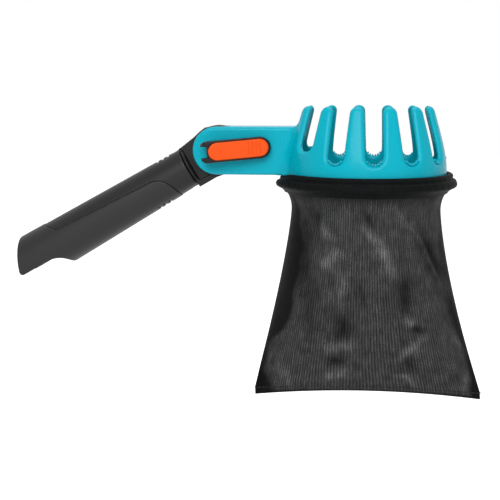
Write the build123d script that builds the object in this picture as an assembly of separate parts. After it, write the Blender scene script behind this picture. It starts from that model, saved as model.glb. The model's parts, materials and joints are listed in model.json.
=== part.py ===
from build123d import *
import math
import os

os.makedirs("parts", exist_ok=True)

# A fruit picker head: a fingered picking ring with a mesh catch bag, on an arm that
# tilts on the end of a sleeve for a pole and is locked by a cam clamp.
# Millimetres. Z is up, X runs from the pole to the ring, Y goes across.
# The origin is on the pole's axis, in the mouth of its socket.

# ---- pole sleeve ---------------------------------------------------------------
rise = 30.2                  # degrees that the pole's axis climbs towards the ring
pole_radius = 13.0           # the pole that the sleeve takes
pole_clearance = 0.05        # running fit of the pole, on the radius
socket_depth = 88.0          # full round part of the socket
pivot_reach = 140.0          # from the socket's mouth to the tilt axis
sleeve_front_radius = 14.7   # the sleeve tapers towards the joint
sleeve_rear_radius = 18.4
scoop_reach = 35.0           # how far the cut-away rear runs out past the mouth
scoop_slant = 23.0           # degrees that the rear face leans back
scoop_floor = 7.8            # the cut-away keeps all that is above this, below the axis
trough_clearance = 0.6       # the cut-away rear is this much wider than the pole's socket
scoop_curve = 11.0           # length of the hollow curve from the mouth to that edge
stop_wall = 4.0              # between the bottom of the socket and the shank's pocket
groove_count = 3             # thumb grooves, in the top and the underside
groove_pitch = 4.4
groove_width = 1.7
groove_depth = 0.8
groove_half_span = 7.0       # half their length across the sleeve
groove_setback = 10.4        # first groove on top, behind the sleeve's front
groove_stagger = 14.7        # the ones in the underside lie this much further back
inlay_thickness = 1.2        # soft inlay let into the underside and round the rear
inlay_top = 8.6              # its upper edge above the axis, at the rear end of the straight run
inlay_fall = 4.6             # the edge is this much lower where the nose starts
inlay_shoulder = 6.6         # its edge turns up to the sleeve's top here, ahead of the mouth
inlay_climb = 10.0           # length of that climb, back to the sleeve's top
inlay_front_gap = 15.0       # in front of it, to the sleeve's front
inlay_nose = 14.7            # length of its rounded nose
edge_round = 1.0             # small rounded edge on plastic mouldings

# ---- joint head in the sleeve's front --------------------------------------------
neck_gap = 4.3               # from the cheeks' round end to the head's shoulder
shoulder_thickness = 2.3
shoulder_taper = 0.3         # the shoulder narrows this much towards the neck
parting_gap = 0.5            # slit between the sleeve and the shoulder
shank_radius = 9.0
shank_end_gap = 0.7          # from the shank's end to the bottom of its pocket
shank_clearance = 0.04       # on the radius
pin_radius = 2.0             # cross pin that holds the shank
pin_clearance = 0.03
pin_setback = 4.5            # behind the sleeve's front
tongue_thickness = 19.6
tongue_overhang = 0.7        # the tongue's disc stands this far past the cheeks
foot_drop = 16.6             # the foot's underside, below the pole's axis
foot_thickness = 4.0
neck_recess = 2.0            # flat let into each side of the neck

# ---- arm ------------------------------------------------------------------------
arm_half_height = 17.2
cheek_thickness = 4.5
slot_clearance = 0.2         # each side of the tongue
arm_roof = 3.5               # closed top of the channel between the cheeks
arm_end_wall = 3.5           # closed end of that channel, at the ring
arm_edge_round = 2.0
tongue_clearance = 0.7       # round the tongue's disc

# ---- picking crown ----------------------------------------------------------------
ring_reach = 107.2           # from the tilt axis to the ring's axis
ring_radius = 57.5
ring_wall = 4.2
finger_wall = 5.0            # radial thickness of a finger at its tip
tip_height = 32.0            # finger tips, above the tilt axis
tip_lean = 9.5               # how far in from the ring the fingers lean at their tips
lean_start = -4.0            # height at which the fingers start to lean in
slot_floor = -8.2            # floor of the slots between the fingers
finger_pitch = 28.0          # degrees
fingers_per_side = 6
arm_finger_shift = 3.0       # extra degrees of the pair beside the arm
arm_slot_lift = 9.6          # the slots beside the arm are this much shallower
finger_base_width = 15.6
finger_tip_width = 10.2
finger_flare = 2.0           # each side, where a finger meets the slots' floor
finger_flare_height = 2.8
tooth_count = 6              # fine teeth across the floor of each slot
tooth_pitch = 1.6
tooth_width = 1.4
tooth_depth = 0.8
flange_width = 6.0           # lip that the bag's hem is stretched over
flange_thickness = 2.5
flange_round = 0.9           # rounding of the lip's rim

# ---- clamp ------------------------------------------------------------------------
bolt_radius = 3.0
bolt_clearance = 0.08
eye_radius = 5.0
eye_width = 7.6
bolt_end = 1.0               # of the bolt that stands out of its nut
lever_pin_radius = 2.0
lever_pin_clearance = 0.04
lever_angle = 5.1            # degrees that the lever stands up from the arm's line
lever_width = 15.2
lever_reach = 40.1           # from the pin to the lever's free end
lever_lift = 2.5             # gap between the free end and the cheek
lever_root_cover = 1.2       # the lever's back over the bolt's eye
lever_end_thickness = 4.6
fork_gap = 0.2               # between the bolt's eye and each leg
fork_depth = 6.0             # the fork's floor, past the pin
cam_radius = 9.3
cam_throw = 0.55             # how far the cam's centre is off the pin
cam_flat = 5.1               # between the pin and the lever's underside, at the cam
cam_length = 14.9            # from the pin to where the handle has run clear of the cam
cam_gap = 0.05               # left between the closed cam and its washer
washer_radius = 5.9
washer_thickness = 1.0
cover_thickness = 2.0
cover_start = -3.6           # left end of the cover, from the pin
cover_margin = 0.8           # of the lever that shows round the cover
cover_rib_count = 4
cover_rib_pitch = 2.6
cover_rib_depth = 0.35
cover_rib_radius = 0.56
cover_round = 0.8            # rounding of the cover's rim
nut_width = 10.0             # across the flats
nut_thickness = 5.0
nut_clearance = 0.1
nut_boss_radius = 8.6
nut_boss_height = 4.0

# ---- catch bag ----------------------------------------------------------------------
bag_inset = 4.0              # the bag's own radius is this much less than the ring's
bag_bottom_half_width = 82.6
bag_top = -29.0              # where the mesh leaves the hem
bag_neck = -40.0             # where it has come in to its own girth
bag_bottom = -181.0
bag_fullness = 1.35          # how late the bag widens on its way down
bag_drift = 2.4              # the bottom hangs this much further out than the ring
mesh_thickness = 1.0
bag_sections = 9
collar_flare = 7.5           # the mesh is this much wider where it leaves the hem
collar_bow = 2.2             # and this much wider halfway down to its own girth
bottom_half_depth = 2.2
hem_wire = 1.2               # radius of the elastic in the hem
hem_wire_gap = 0.1           # between the elastic and the cloth round it
hem_cloth = 0.7              # cloth round the elastic
hem_skirt = 1.1              # double cloth that is drawn over the lip
soft_gap = 0.35              # between cloth and what it lies on
seam_width = 4.0
seam_thickness = 1.0
seam_stop = 12.0             # the side seams end this far above the bottom
seam_gap = 0.45              # between a seam and the mesh that it is turned in from
bottom_seam_height = 4.0

# ---- places that follow from the sizes -------------------------------------------------
socket_radius = pole_radius + pole_clearance
front = pivot_reach - arm_half_height - neck_gap - shoulder_thickness - parting_gap
sleeve_length = front + scoop_reach
arm_half_width = tongue_thickness / 2 + slot_clearance + cheek_thickness
tongue_radius = arm_half_height + tongue_overhang
slot_radius = tongue_radius + tongue_clearance
slot_half_width = tongue_thickness / 2 + slot_clearance
wire_space = hem_wire + hem_wire_gap
roll_radius = wire_space + hem_cloth
groove_height = roll_radius * 2 + soft_gap * 2
ring_bottom = -arm_half_height - groove_height - flange_thickness
tip_radius = ring_radius - tip_lean
flange_radius = ring_radius + flange_width
bag_girth_radius = ring_radius - bag_inset
pocket_floor = socket_depth + stop_wall
washer_face = -arm_half_width - washer_thickness
pin_y = washer_face - cam_radius - cam_throw - cam_gap
over = 60.0                  # spare length of every cutting tool


handle_frame = Location((0, 0, 0), (0, -rise, 0))
pivot = (pivot_reach * math.cos(math.radians(rise)), 0, pivot_reach * math.sin(math.radians(rise)))
head_frame = Location(pivot)
ring_frame = head_frame * Location((ring_reach, 0, 0))
lever_frame = head_frame * Location((0, 0, 0), (0, -lever_angle, 0))


# ---- shapes that several pieces are made from ---------------------------------------------

def across(sketch, half_width=over):
    """A sketch of X and Z as a prism across the part."""
    return extrude(Plane.XZ * sketch, amount=half_width, both=True)


def outline(*points):
    return Polygon(*points, align=None)


def disc(radius, x=0.0, y=0.0):
    return Pos(x, y) * Circle(radius)


def y_rod(radius, start, end):
    """A round rod along Y."""
    return Pos(0, (start + end) / 2, 0) * Cylinder(radius, end - start, rotation=(90, 0, 0))


def z_rod(radius, length):
    return Cylinder(radius, length)


def x_cone(start, end, start_radius, end_radius):
    """A cone or cylinder along X."""
    if abs(start_radius - end_radius) < 1e-6:
        solid = Cylinder(start_radius, end - start)
    else:
        solid = Cone(start_radius, end_radius, end - start)
    return Pos((start + end) / 2, 0, 0) * Rot(0, 90, 0) * solid


def turned(*profile):
    """A profile of radius and height, turned about Z."""
    return revolve(Plane.XZ * outline(*profile), Axis.Z)


# ---- pole sleeve ----------------------------------------------------------------------------

def sleeve_skin(inset):
    """The sleeve's outside as a solid, or what lies this far under it."""
    return x_cone(-scoop_reach, front, sleeve_rear_radius - inset, sleeve_front_radius - inset)


def inlay_outline():
    """The inlay from the side: all of the rear, a long sloping edge, and a rounded nose."""
    nose = front - inlay_front_gap
    nose_start = nose - inlay_nose
    nose_top = inlay_top - inlay_fall
    climb = inlay_climb * (over - inlay_top) / (sleeve_rear_radius - inlay_top)
    shape = outline(
        (-over * 2, -over), (-over * 2, over), (inlay_shoulder - climb, over), (inlay_shoulder, inlay_top),
        (nose_start, nose_top), (nose_start, -over))
    bow = Pos(nose_start, -sleeve_front_radius) * Ellipse(inlay_nose, sleeve_front_radius + nose_top)
    keep = outline((nose_start, -over), (nose_start, nose_top), (nose, nose_top), (nose, -over))
    return shape + (bow & keep)


def inlay_bed():
    """The room that the inlay fills in the sleeve."""
    layer = sleeve_skin(0) - sleeve_skin(inlay_thickness)
    return (layer & across(inlay_outline())) - scoop_cut()


def grip_inlay():
    inlay = inlay_bed()
    for cut in thumb_grooves():
        inlay -= cut
    return inlay


def thumb_grooves():
    """Ring-shaped cuts over the top of the sleeve and, further back, under its bottom."""
    cuts = []
    slope = (sleeve_rear_radius - sleeve_front_radius) / sleeve_length
    half = groove_width / 2
    for side, setback in ((1, groove_setback), (-1, groove_setback + groove_stagger)):
        for i in range(groove_count):
            middle = front - setback - i * groove_pitch
            floor = sleeve_front_radius + slope * (front - middle) - groove_depth
            outside = x_cone(middle - half, middle + half, over, over)
            ring = outside - x_cone(middle - over, middle + over, floor, floor)
            cuts.append(ring & Pos(0, 0, side * over) * Box(over * 8, groove_half_span * 2, over * 2))
    return cuts


def scoop_cut():
    """What is cut away under the rear of the sleeve, and its slanted rear face."""
    scoop_bottom = -sleeve_rear_radius
    flat = outline((-over * 2, -over), (-over * 2, -scoop_floor), (-scoop_curve, -scoop_floor), (-scoop_curve, -over))
    curve = Pos(-scoop_curve, scoop_bottom) * Ellipse(scoop_curve, sleeve_rear_radius - scoop_floor)
    foot = outline((-scoop_curve, -over), (-scoop_curve, scoop_bottom), (0, scoop_bottom), (0, -over))
    lean = math.tan(math.radians(scoop_slant))
    rear = -scoop_reach
    behind = outline(
        (rear - over, -over), (rear - over, over), (rear + over * lean, over - scoop_floor), (rear, -scoop_floor),
        (rear, -over))
    return across(flat + curve + foot + behind)


def shank_pin_place():
    return front - pin_setback


def handle_sleeve():
    body = sleeve_skin(0)
    front_rim = body.edges().group_by(Axis.X)[-1]
    body = fillet(front_rim, edge_round)
    trough_radius = socket_radius + trough_clearance
    body -= x_cone(-over, socket_depth, socket_radius, socket_radius)
    body -= x_cone(-scoop_reach - over, 0, trough_radius, trough_radius)
    pocket = shank_radius + shank_clearance
    body -= x_cone(pocket_floor, front + over, pocket, pocket)
    body -= Pos(shank_pin_place(), 0, 0) * z_rod(pin_radius + pin_clearance, over * 2)
    body -= scoop_cut()
    body -= inlay_bed()
    for cut in thumb_grooves():
        body -= cut
    return body


def shank_pin():
    rod = Pos(shank_pin_place(), 0, 0) * z_rod(pin_radius, over * 2)
    return rod & sleeve_skin(0.2)


# ---- joint head -----------------------------------------------------------------------------

def neck_outline():
    """The tongue from the side: a disc on the tilt axis, the neck and the foot under it."""
    shoulder = front + parting_gap
    rise_angle = math.atan2(sleeve_front_radius, pivot_reach - shoulder)
    reach = math.hypot(sleeve_front_radius, pivot_reach - shoulder)
    touch = math.pi - rise_angle - math.acos(tongue_radius / reach)
    top = (pivot_reach + tongue_radius * math.cos(touch), tongue_radius * math.sin(touch))
    foot_end = pivot_reach - math.sqrt(max(tongue_radius ** 2 - foot_drop ** 2, 0.0))
    neck = outline(
        (shoulder, -foot_drop), (shoulder, sleeve_front_radius - edge_round), top, (pivot_reach, 0),
        (foot_end, -foot_drop))
    return neck + disc(tongue_radius, pivot_reach)


def neck_pockets():
    """Flats let into both sides of the neck, which leave the foot standing as a rim."""
    start = front + parting_gap + shoulder_thickness
    area = outline(
        (start, foot_thickness - foot_drop), (start, over), (pivot_reach, over),
        (pivot_reach, foot_thickness - foot_drop))
    area -= disc(arm_half_height - edge_round, pivot_reach)
    cut = across(area)
    return cut - across(area, tongue_thickness / 2 - neck_recess)


def joint_head():
    half = tongue_thickness / 2
    body = across(neck_outline(), half) - neck_pockets()
    shoulder = front + parting_gap
    neck_end = shoulder + shoulder_thickness
    body += x_cone(shoulder, neck_end, sleeve_front_radius, sleeve_front_radius - shoulder_taper)
    body += x_cone(pocket_floor + shank_end_gap, neck_end, shank_radius, shank_radius)
    body -= Pos(pivot_reach, 0, 0) * y_rod(bolt_radius + bolt_clearance, -over, over)
    body -= Pos(shank_pin_place(), 0, 0) * z_rod(pin_radius + pin_clearance, over * 2)
    return body


# ---- picking crown, about the ring's own axis --------------------------------------------------

ring_inner = ring_radius - ring_wall
tip_inner = tip_radius - finger_wall
tip_middle = tip_height - finger_wall / 2
finger_angles = [(i + 0.5) * finger_pitch for i in range(fingers_per_side)]
finger_angles[-1] += arm_finger_shift
slot_angles = [i * finger_pitch for i in range(fingers_per_side)]
raised_floor = slot_floor + arm_slot_lift


def crown_wall():
    """The full wall of the crown, from the slots' floor to the rounded tips."""
    wall = outline(
        (ring_inner, slot_floor), (ring_radius, slot_floor), (ring_radius, lean_start),
        (tip_radius, tip_middle), (tip_inner, tip_middle), (ring_inner, lean_start))
    tip = disc(finger_wall / 2, (tip_radius + tip_inner) / 2, tip_middle)
    return revolve(Plane.XZ * (wall + tip), Axis.Z)


def crown_inside():
    """The space inside the crown, as a solid."""
    return turned(
        (0, ring_bottom - over), (ring_inner, ring_bottom - over), (ring_inner, lean_start),
        (tip_inner, tip_middle), (tip_inner, over), (0, over))


def finger_prism():
    """A finger seen from outside, tapered to a round tip and flared where it meets the floor."""
    base = finger_base_width / 2
    tip = finger_tip_width / 2
    foot = base + finger_flare
    flare_top = slot_floor + finger_flare_height
    shape = outline(
        (-foot, slot_floor), (foot, slot_floor), (base, flare_top),
        (tip, tip_height - tip), (-tip, tip_height - tip), (-base, flare_top))
    shape += disc(tip, 0, tip_height - tip)
    return extrude(Plane.YZ * shape, amount=ring_radius + over)


def below(height):
    return Pos(0, 0, height - over * 2) * Box(over * 6, over * 6, over * 4)


def tooth_cuts(floor):
    """V grooves across the wall at one slot's floor."""
    half = tooth_width / 2
    groove = outline((-half, floor + 0.01), (half, floor + 0.01), (0, floor - tooth_depth))
    cut = extrude(Plane.YZ * groove, amount=ring_radius + over)
    first = -(tooth_count - 1) / 2 * tooth_pitch
    return [Pos(0, first + i * tooth_pitch, 0) * cut for i in range(tooth_count)]


def crown_ring():
    ring = turned(
        (ring_inner, ring_bottom), (ring_radius, ring_bottom), (ring_radius, slot_floor), (ring_inner, slot_floor))
    angles = slot_angles[:-1] + [-a for a in slot_angles[1:-1]]
    cuts = [Rot(0, 0, a) * cut for a in angles for cut in tooth_cuts(slot_floor)]
    return ring - cuts


def bag_flange():
    flange = turned(
        (ring_radius, ring_bottom), (flange_radius, ring_bottom), (flange_radius, ring_bottom + flange_thickness),
        (ring_radius, ring_bottom + flange_thickness))
    rim = flange.edges().filter_by(GeomType.CIRCLE).sort_by(lambda e: e.radius)[-2:]
    return fillet(rim, flange_round)


def arm():
    """Two cheeks under one roof, open below, from round the tilt axis to the ring."""
    reach = ring_reach
    side = disc(arm_half_height) + outline(
        (0, -arm_half_height), (0, arm_half_height), (reach, arm_half_height), (reach, -arm_half_height))
    body = across(side, arm_half_width)
    rims = body.faces().filter_by(Axis.Y).edges()
    body = fillet(rims, arm_edge_round)
    far_face = arm_half_width + nut_boss_height
    body += y_rod(nut_boss_radius, arm_half_width - 1, far_face)
    end_wall = ring_reach - ring_radius - arm_end_wall
    roof = arm_half_height - arm_roof
    channel = outline((0, -over), (0, roof), (end_wall, roof), (end_wall, -over)) + disc(slot_radius)
    body -= across(channel, slot_half_width)
    body -= y_rod(bolt_radius + bolt_clearance, -over, over)
    recess = extrude(Plane.XZ * RegularPolygon(nut_width / 2 + nut_clearance, 6, major_radius=False), amount=-over)
    body -= Pos(0, far_face - nut_thickness, 0) * recess
    solid_ring = turned(
        (0, ring_bottom - 1), (ring_radius, ring_bottom - 1), (ring_radius, slot_floor), (0, slot_floor))
    body -= Pos(ring_reach, 0, 0) * solid_ring
    body -= Pos(ring_reach, 0, 0) * crown_inside()
    return body


def crown_pieces():
    """The fingers by angle, and the low wall that carries the pair beside the arm."""
    wall = crown_wall()
    one = wall & finger_prism()
    arm_here = Pos(-ring_reach, 0, 0) * across(
        outline((0, slot_floor), (0, arm_half_height), (ring_reach, arm_half_height), (ring_reach, slot_floor)),
        arm_half_width)
    half = 180 - finger_angles[-2]
    spread = over * 2
    sector = outline(
        (0, 0), (-spread, spread * math.tan(math.radians(half))), (-spread, -spread * math.tan(math.radians(half))))
    saddle = wall & extrude(sector, amount=over * 2, both=True) & below(raised_floor)
    fingers = {}
    for number, angle in enumerate(finger_angles + [-a for a in reversed(finger_angles)]):
        piece = Rot(0, 0, angle) * one
        if abs(angle) == finger_angles[-1]:
            piece = piece - below(raised_floor) - arm_here
        fingers[f"finger_{number + 1:02d}"] = piece
    for angle in (finger_angles[-2], -finger_angles[-2]):
        saddle -= Rot(0, 0, angle) * one
    saddle -= arm_here
    for angle in (slot_angles[-1], -slot_angles[-1]):
        saddle -= [Rot(0, 0, angle) * cut for cut in tooth_cuts(raised_floor)]
    return fingers, saddle


# ---- clamp ----------------------------------------------------------------------------------------

def clamp_bolt():
    """An eye bolt through the cheeks and the tongue."""
    end = arm_half_width + nut_boss_height + bolt_end
    body = y_rod(bolt_radius, pin_y + lever_pin_radius + lever_pin_clearance, end)
    body += Pos(0, pin_y, 0) * z_rod(eye_radius, eye_width)
    return body - Pos(0, pin_y, 0) * z_rod(lever_pin_radius + lever_pin_clearance, over)


def lever_pin():
    return Pos(0, pin_y, 0) * z_rod(lever_pin_radius, lever_width)


def lever_plan(margin):
    """The lever seen square on, with its free end round, drawn in by a margin."""
    half = lever_width / 2 - margin
    end = lever_reach - margin - half
    return outline((-over, -half), (end, -half), (end, half), (-over, half)) + disc(half, end)


def lever_back(x, lift=0.0):
    """Height of the lever's back, or of what stands on it, at x along the lever."""
    free_end = -arm_half_width - lever_lift - lever_end_thickness
    root = pin_y - eye_radius - lever_root_cover
    return root + (free_end - root) * x / lever_reach - lift


def lever_side():
    """The lever in section: round cam on the washer, handle running out over the cheek."""
    under_end = -arm_half_width - lever_lift
    handle = outline(
        (0, lever_back(0)), (lever_reach, lever_back(lever_reach)), (lever_reach, under_end),
        (cam_length, under_end), (0, pin_y + cam_flat))
    behind = outline((-over, -over * 2), (-over, lever_back(-over)), (over, lever_back(over)), (over, -over * 2))
    return handle + disc(cam_radius, 0, pin_y + cam_throw) - behind


def clamp_lever():
    body = extrude(lever_side(), amount=lever_width / 2, both=True)
    body &= across(lever_plan(0))
    fork = outline(
        (-over, -eye_width / 2 - fork_gap), (fork_depth, -eye_width / 2 - fork_gap),
        (fork_depth, eye_width / 2 + fork_gap), (-over, eye_width / 2 + fork_gap))
    body -= across(fork)
    body -= Pos(0, pin_y, 0) * z_rod(lever_pin_radius + lever_pin_clearance, over)
    return body - lever_cover()


def lever_cover():
    """The coloured cap on the lever's back, ribbed across its free end."""
    slab = outline(
        (-over, lever_back(-over)), (over, lever_back(over)), (over, lever_back(over, cover_thickness)),
        (-over, lever_back(-over, cover_thickness)))
    body = extrude(slab, amount=lever_width, both=True)
    half = lever_width / 2 - cover_margin
    root = cover_start + half
    plan = lever_plan(cover_margin) & outline((root, -over), (root, over), (over, over), (over, -over))
    body &= across(plan + disc(half, root))
    rims = body.faces().sort_by(Axis.Y)[0].edges()
    body = fillet(rims, cover_round)
    last = lever_reach - cover_margin - half
    for i in range(cover_rib_count):
        x = last - i * cover_rib_pitch
        middle = lever_back(x, cover_thickness) + cover_rib_depth - cover_rib_radius
        body -= Pos(x, middle, 0) * z_rod(cover_rib_radius, half * 1.5)
    return body


def cam_washer():
    return y_rod(washer_radius, washer_face, -arm_half_width) - y_rod(bolt_radius + bolt_clearance, -over, over)


def lock_nut():
    outer = arm_half_width + nut_boss_height
    nut = extrude(Plane.XZ * RegularPolygon(nut_width / 2, 6, major_radius=False), amount=-nut_thickness)
    return Pos(0, outer - nut_thickness, 0) * nut - y_rod(bolt_radius + bolt_clearance, -over, over)


# ---- catch bag, about the ring's own axis ------------------------------------------------------------

roll_middle = ring_radius + soft_gap + roll_radius
roll_height = ring_bottom + flange_thickness + soft_gap + roll_radius
skirt_inner = flange_radius + soft_gap
skirt_outer = skirt_inner + hem_skirt


def hem_elastic():
    return Pos(0, 0, roll_height) * Torus(roll_middle, hem_wire)


def bag_hem():
    """The roll that holds the elastic, and the skirt that is drawn down over the lip."""
    top = ring_bottom + flange_thickness + soft_gap
    low = ring_bottom - soft_gap
    tuck = hem_skirt * 0.6
    roll_side = roll_middle + roll_radius * 0.7
    mesh_outer = bag_girth_radius + collar_flare
    skirt = outline(
        (roll_side, roll_height + roll_radius * 0.3), (skirt_outer - tuck, top + hem_skirt * 0.3),
        (skirt_outer, top - hem_skirt), (skirt_outer, low), (skirt_outer - hem_skirt, low - hem_skirt),
        (mesh_outer, bag_top), (mesh_outer - mesh_thickness, bag_top), (skirt_inner - tuck, low - tuck),
        (skirt_inner, low + soft_gap), (skirt_inner, top - tuck), (roll_side, top + soft_gap))
    section = disc(roll_radius, roll_middle, roll_height) + skirt - disc(wire_space, roll_middle, roll_height)
    return revolve(Plane.XZ * section, Axis.Z)


def bag_size(share):
    """Half width, half depth and drift of the bag at a share of its height, 0 at the neck."""
    half_width = bag_girth_radius + (bag_bottom_half_width - bag_girth_radius) * share ** bag_fullness
    half_depth = bag_girth_radius + (bottom_half_depth - bag_girth_radius) * share ** 2
    return half_width, half_depth, bag_drift * share ** 2


def bag_levels():
    """Height, half width, half depth and drift of the bag's sections, from the hem down."""
    wide = bag_girth_radius + collar_flare
    halfway = bag_girth_radius + collar_bow
    levels = [(bag_top, wide, wide, 0.0), ((bag_top + bag_neck) / 2, halfway, halfway, 0.0)]
    for i in range(bag_sections):
        share = i / (bag_sections - 1)
        height = bag_neck + (bag_bottom - bag_neck) * share
        levels.append((height, *bag_size(share)))
    return levels


def bag_panel(side):
    """One mesh panel, a half shell from the hem to the bottom seam. Side is -1 or 1, along Y."""
    keep = Pos(0, side * over * 2) * Rectangle(over * 8, over * 4)
    sections = []
    for height, half_width, half_depth, drift in bag_levels():
        rim = Ellipse(half_width, half_depth)
        hollow = Ellipse(half_width - mesh_thickness, half_depth - mesh_thickness)
        sections.append(Pos(drift, 0, height) * ((rim - hollow) & keep))
    return loft(sections)


def side_seam(side):
    """The turned-in edges of the panels, standing inwards along one side. Side is -1 or 1, along X."""
    inset = mesh_thickness + seam_gap + seam_width / 2
    sections = []
    for height, half_width, half_depth, drift in bag_levels()[3:-1]:
        middle = drift + side * (half_width - inset)
        sections.append(Pos(middle, 0, height) * Rectangle(seam_width, seam_thickness))
    end = 1 - seam_stop / (bag_neck - bag_bottom)
    half_width, half_depth, drift = bag_size(end)
    sections[-1] = Pos(drift + side * (half_width - inset), 0, bag_bottom + seam_stop) * Rectangle(
        seam_width, seam_thickness)
    return loft(sections)


def side_seams():
    return side_seam(-1) + side_seam(1)


def bottom_seam():
    width = (bag_bottom_half_width - mesh_thickness) * 2
    return Pos(bag_drift, 0, bag_bottom - bottom_seam_height / 2) * Box(
        width, bottom_half_depth * 1.2, bottom_seam_height)


# ---- placing and writing --------------------------------------------------------------------------------

fingers, saddle = crown_pieces()

pieces = {
    "handle_sleeve": handle_frame * handle_sleeve(),
    "grip_inlay": handle_frame * grip_inlay(),
    "joint_head": handle_frame * joint_head(),
    "shank_pin": handle_frame * shank_pin(),
    "arm": head_frame * arm(),
    "crown_ring": ring_frame * crown_ring(),
    "crown_saddle": ring_frame * saddle,
    "bag_flange": ring_frame * bag_flange(),
    "cam_washer": lever_frame * cam_washer(),
    "lock_nut": head_frame * lock_nut(),
    "clamp_bolt": lever_frame * clamp_bolt(),
    "lever_pin": lever_frame * lever_pin(),
    "clamp_lever": lever_frame * clamp_lever(),
    "lever_cover": lever_frame * lever_cover(),
    "hem_elastic": ring_frame * hem_elastic(),
    "bag_hem": ring_frame * bag_hem(),
    "bag_front_panel": ring_frame * bag_panel(-1),
    "bag_back_panel": ring_frame * bag_panel(1),
    "bag_side_seams": ring_frame * side_seams(),
    "bag_bottom_seam": ring_frame * bottom_seam(),
}
for name, finger in fingers.items():
    pieces[name] = ring_frame * finger

for name, piece in pieces.items():
    export_step(piece, f"parts/{name}.step")
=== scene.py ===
"""A fruit picker head: the visible model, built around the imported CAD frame.

A fingered picking crown and its arm, a cam clamp, a pole sleeve and a mesh catch bag. Sizes are in
millimetres, as on the part's drawing. Places come from the frame, and meshes are written in metres.
"""

from __future__ import annotations

import json
import logging
import math
from dataclasses import dataclass
from enum import Enum
from typing import Callable, Sequence

import bpy
import numpy as np
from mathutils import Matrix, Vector

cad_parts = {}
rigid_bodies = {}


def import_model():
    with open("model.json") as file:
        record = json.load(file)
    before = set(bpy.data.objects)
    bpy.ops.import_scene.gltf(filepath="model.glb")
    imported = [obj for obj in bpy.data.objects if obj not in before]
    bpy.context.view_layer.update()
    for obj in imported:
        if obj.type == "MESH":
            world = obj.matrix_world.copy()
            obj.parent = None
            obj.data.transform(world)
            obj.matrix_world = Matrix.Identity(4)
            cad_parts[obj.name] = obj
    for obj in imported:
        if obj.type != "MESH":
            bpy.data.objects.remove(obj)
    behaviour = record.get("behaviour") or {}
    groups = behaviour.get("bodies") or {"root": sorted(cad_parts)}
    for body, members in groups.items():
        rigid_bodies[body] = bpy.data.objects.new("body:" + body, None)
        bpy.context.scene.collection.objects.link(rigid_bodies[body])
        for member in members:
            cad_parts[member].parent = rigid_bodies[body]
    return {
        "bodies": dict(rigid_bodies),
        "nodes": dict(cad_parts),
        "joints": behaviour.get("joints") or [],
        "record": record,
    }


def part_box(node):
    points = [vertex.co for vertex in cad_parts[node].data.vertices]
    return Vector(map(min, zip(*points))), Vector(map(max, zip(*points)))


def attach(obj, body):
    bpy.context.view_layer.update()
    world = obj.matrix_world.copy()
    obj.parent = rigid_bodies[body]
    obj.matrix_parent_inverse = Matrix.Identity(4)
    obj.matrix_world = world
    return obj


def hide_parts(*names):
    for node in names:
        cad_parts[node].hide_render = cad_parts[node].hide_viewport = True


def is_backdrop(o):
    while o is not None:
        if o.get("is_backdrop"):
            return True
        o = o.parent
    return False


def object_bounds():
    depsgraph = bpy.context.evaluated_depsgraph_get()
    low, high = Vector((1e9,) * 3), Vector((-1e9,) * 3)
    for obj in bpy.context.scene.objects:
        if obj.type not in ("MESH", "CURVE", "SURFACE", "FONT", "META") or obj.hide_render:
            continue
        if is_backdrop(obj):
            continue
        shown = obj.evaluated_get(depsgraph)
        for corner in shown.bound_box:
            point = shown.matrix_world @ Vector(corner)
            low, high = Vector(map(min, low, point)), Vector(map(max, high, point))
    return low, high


MM = 0.001
Array = np.ndarray
Pair = tuple[float, float]
Triple = tuple[float, float, float]
Field = Callable[[Array, Array, Array], Array]
Piece = bpy.types.Object
Material = bpy.types.Material
Tree = bpy.types.NodeTree
Socket = bpy.types.NodeSocket
WHITE = (1.0, 1.0, 1.0, 1.0)
LOG = logging.getLogger("fruit_picker")


# ---- solids as signed distances ------------------------------------------------------------------


def join(a: Array, b: Array, fillet: float = 0.0) -> Array:
    """Union of two solids with a round fillet where they meet.

    Args:
        a: signed distance to the first solid, negative inside.
        b: signed distance to the second.
        fillet: radius of the fillet.

    Returns:
        The signed distance to both.
    """
    if fillet <= 0:
        return np.minimum(a, b)
    corner = np.hypot(np.maximum(fillet - a, 0), np.maximum(fillet - b, 0))
    return np.maximum(fillet, np.minimum(a, b)) - corner


def keep(a: Array, b: Array, edge: float = 0.0) -> Array:
    """What two solids share, with its new edges rounded to a radius."""
    return -join(-a, -b, edge)


def cut(a: Array, b: Array, edge: float = 0.0) -> Array:
    """The first solid without the second, with the new edges rounded to a radius."""
    return keep(a, -b, edge)


def band(value: Array, low: float, high: float) -> Array:
    """Distance to the slab between two planes."""
    return np.maximum(low - value, value - high)


@dataclass(frozen=True)
class Placed:
    """A frame to model in: its place in the row frame and its turn about Y, which lifts +X.

    Attributes:
        origin: place of its origin, in millimetres.
        rise: degrees that its X axis climbs.
    """

    origin: Triple
    rise: float = 0.0

    def matrix(self) -> Array:
        """Columns are the frame's axes in the row frame."""
        c, s = math.cos(math.radians(self.rise)), math.sin(math.radians(self.rise))
        return np.array([[c, 0.0, -s], [0.0, 1.0, 0.0], [s, 0.0, c]])

    def to_row(self, points: Array) -> Array:
        """Points of this frame in the row frame, in millimetres."""
        return points @ self.matrix().T + np.array(self.origin)


CORNERS = np.array([(i, j, k) for i in (0, 1) for j in (0, 1) for k in (0, 1)])
CELL_EDGES = [(a, b) for a in range(8) for b in range(a + 1, 8) if np.abs(CORNERS[a] - CORNERS[b]).sum() == 1]


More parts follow.
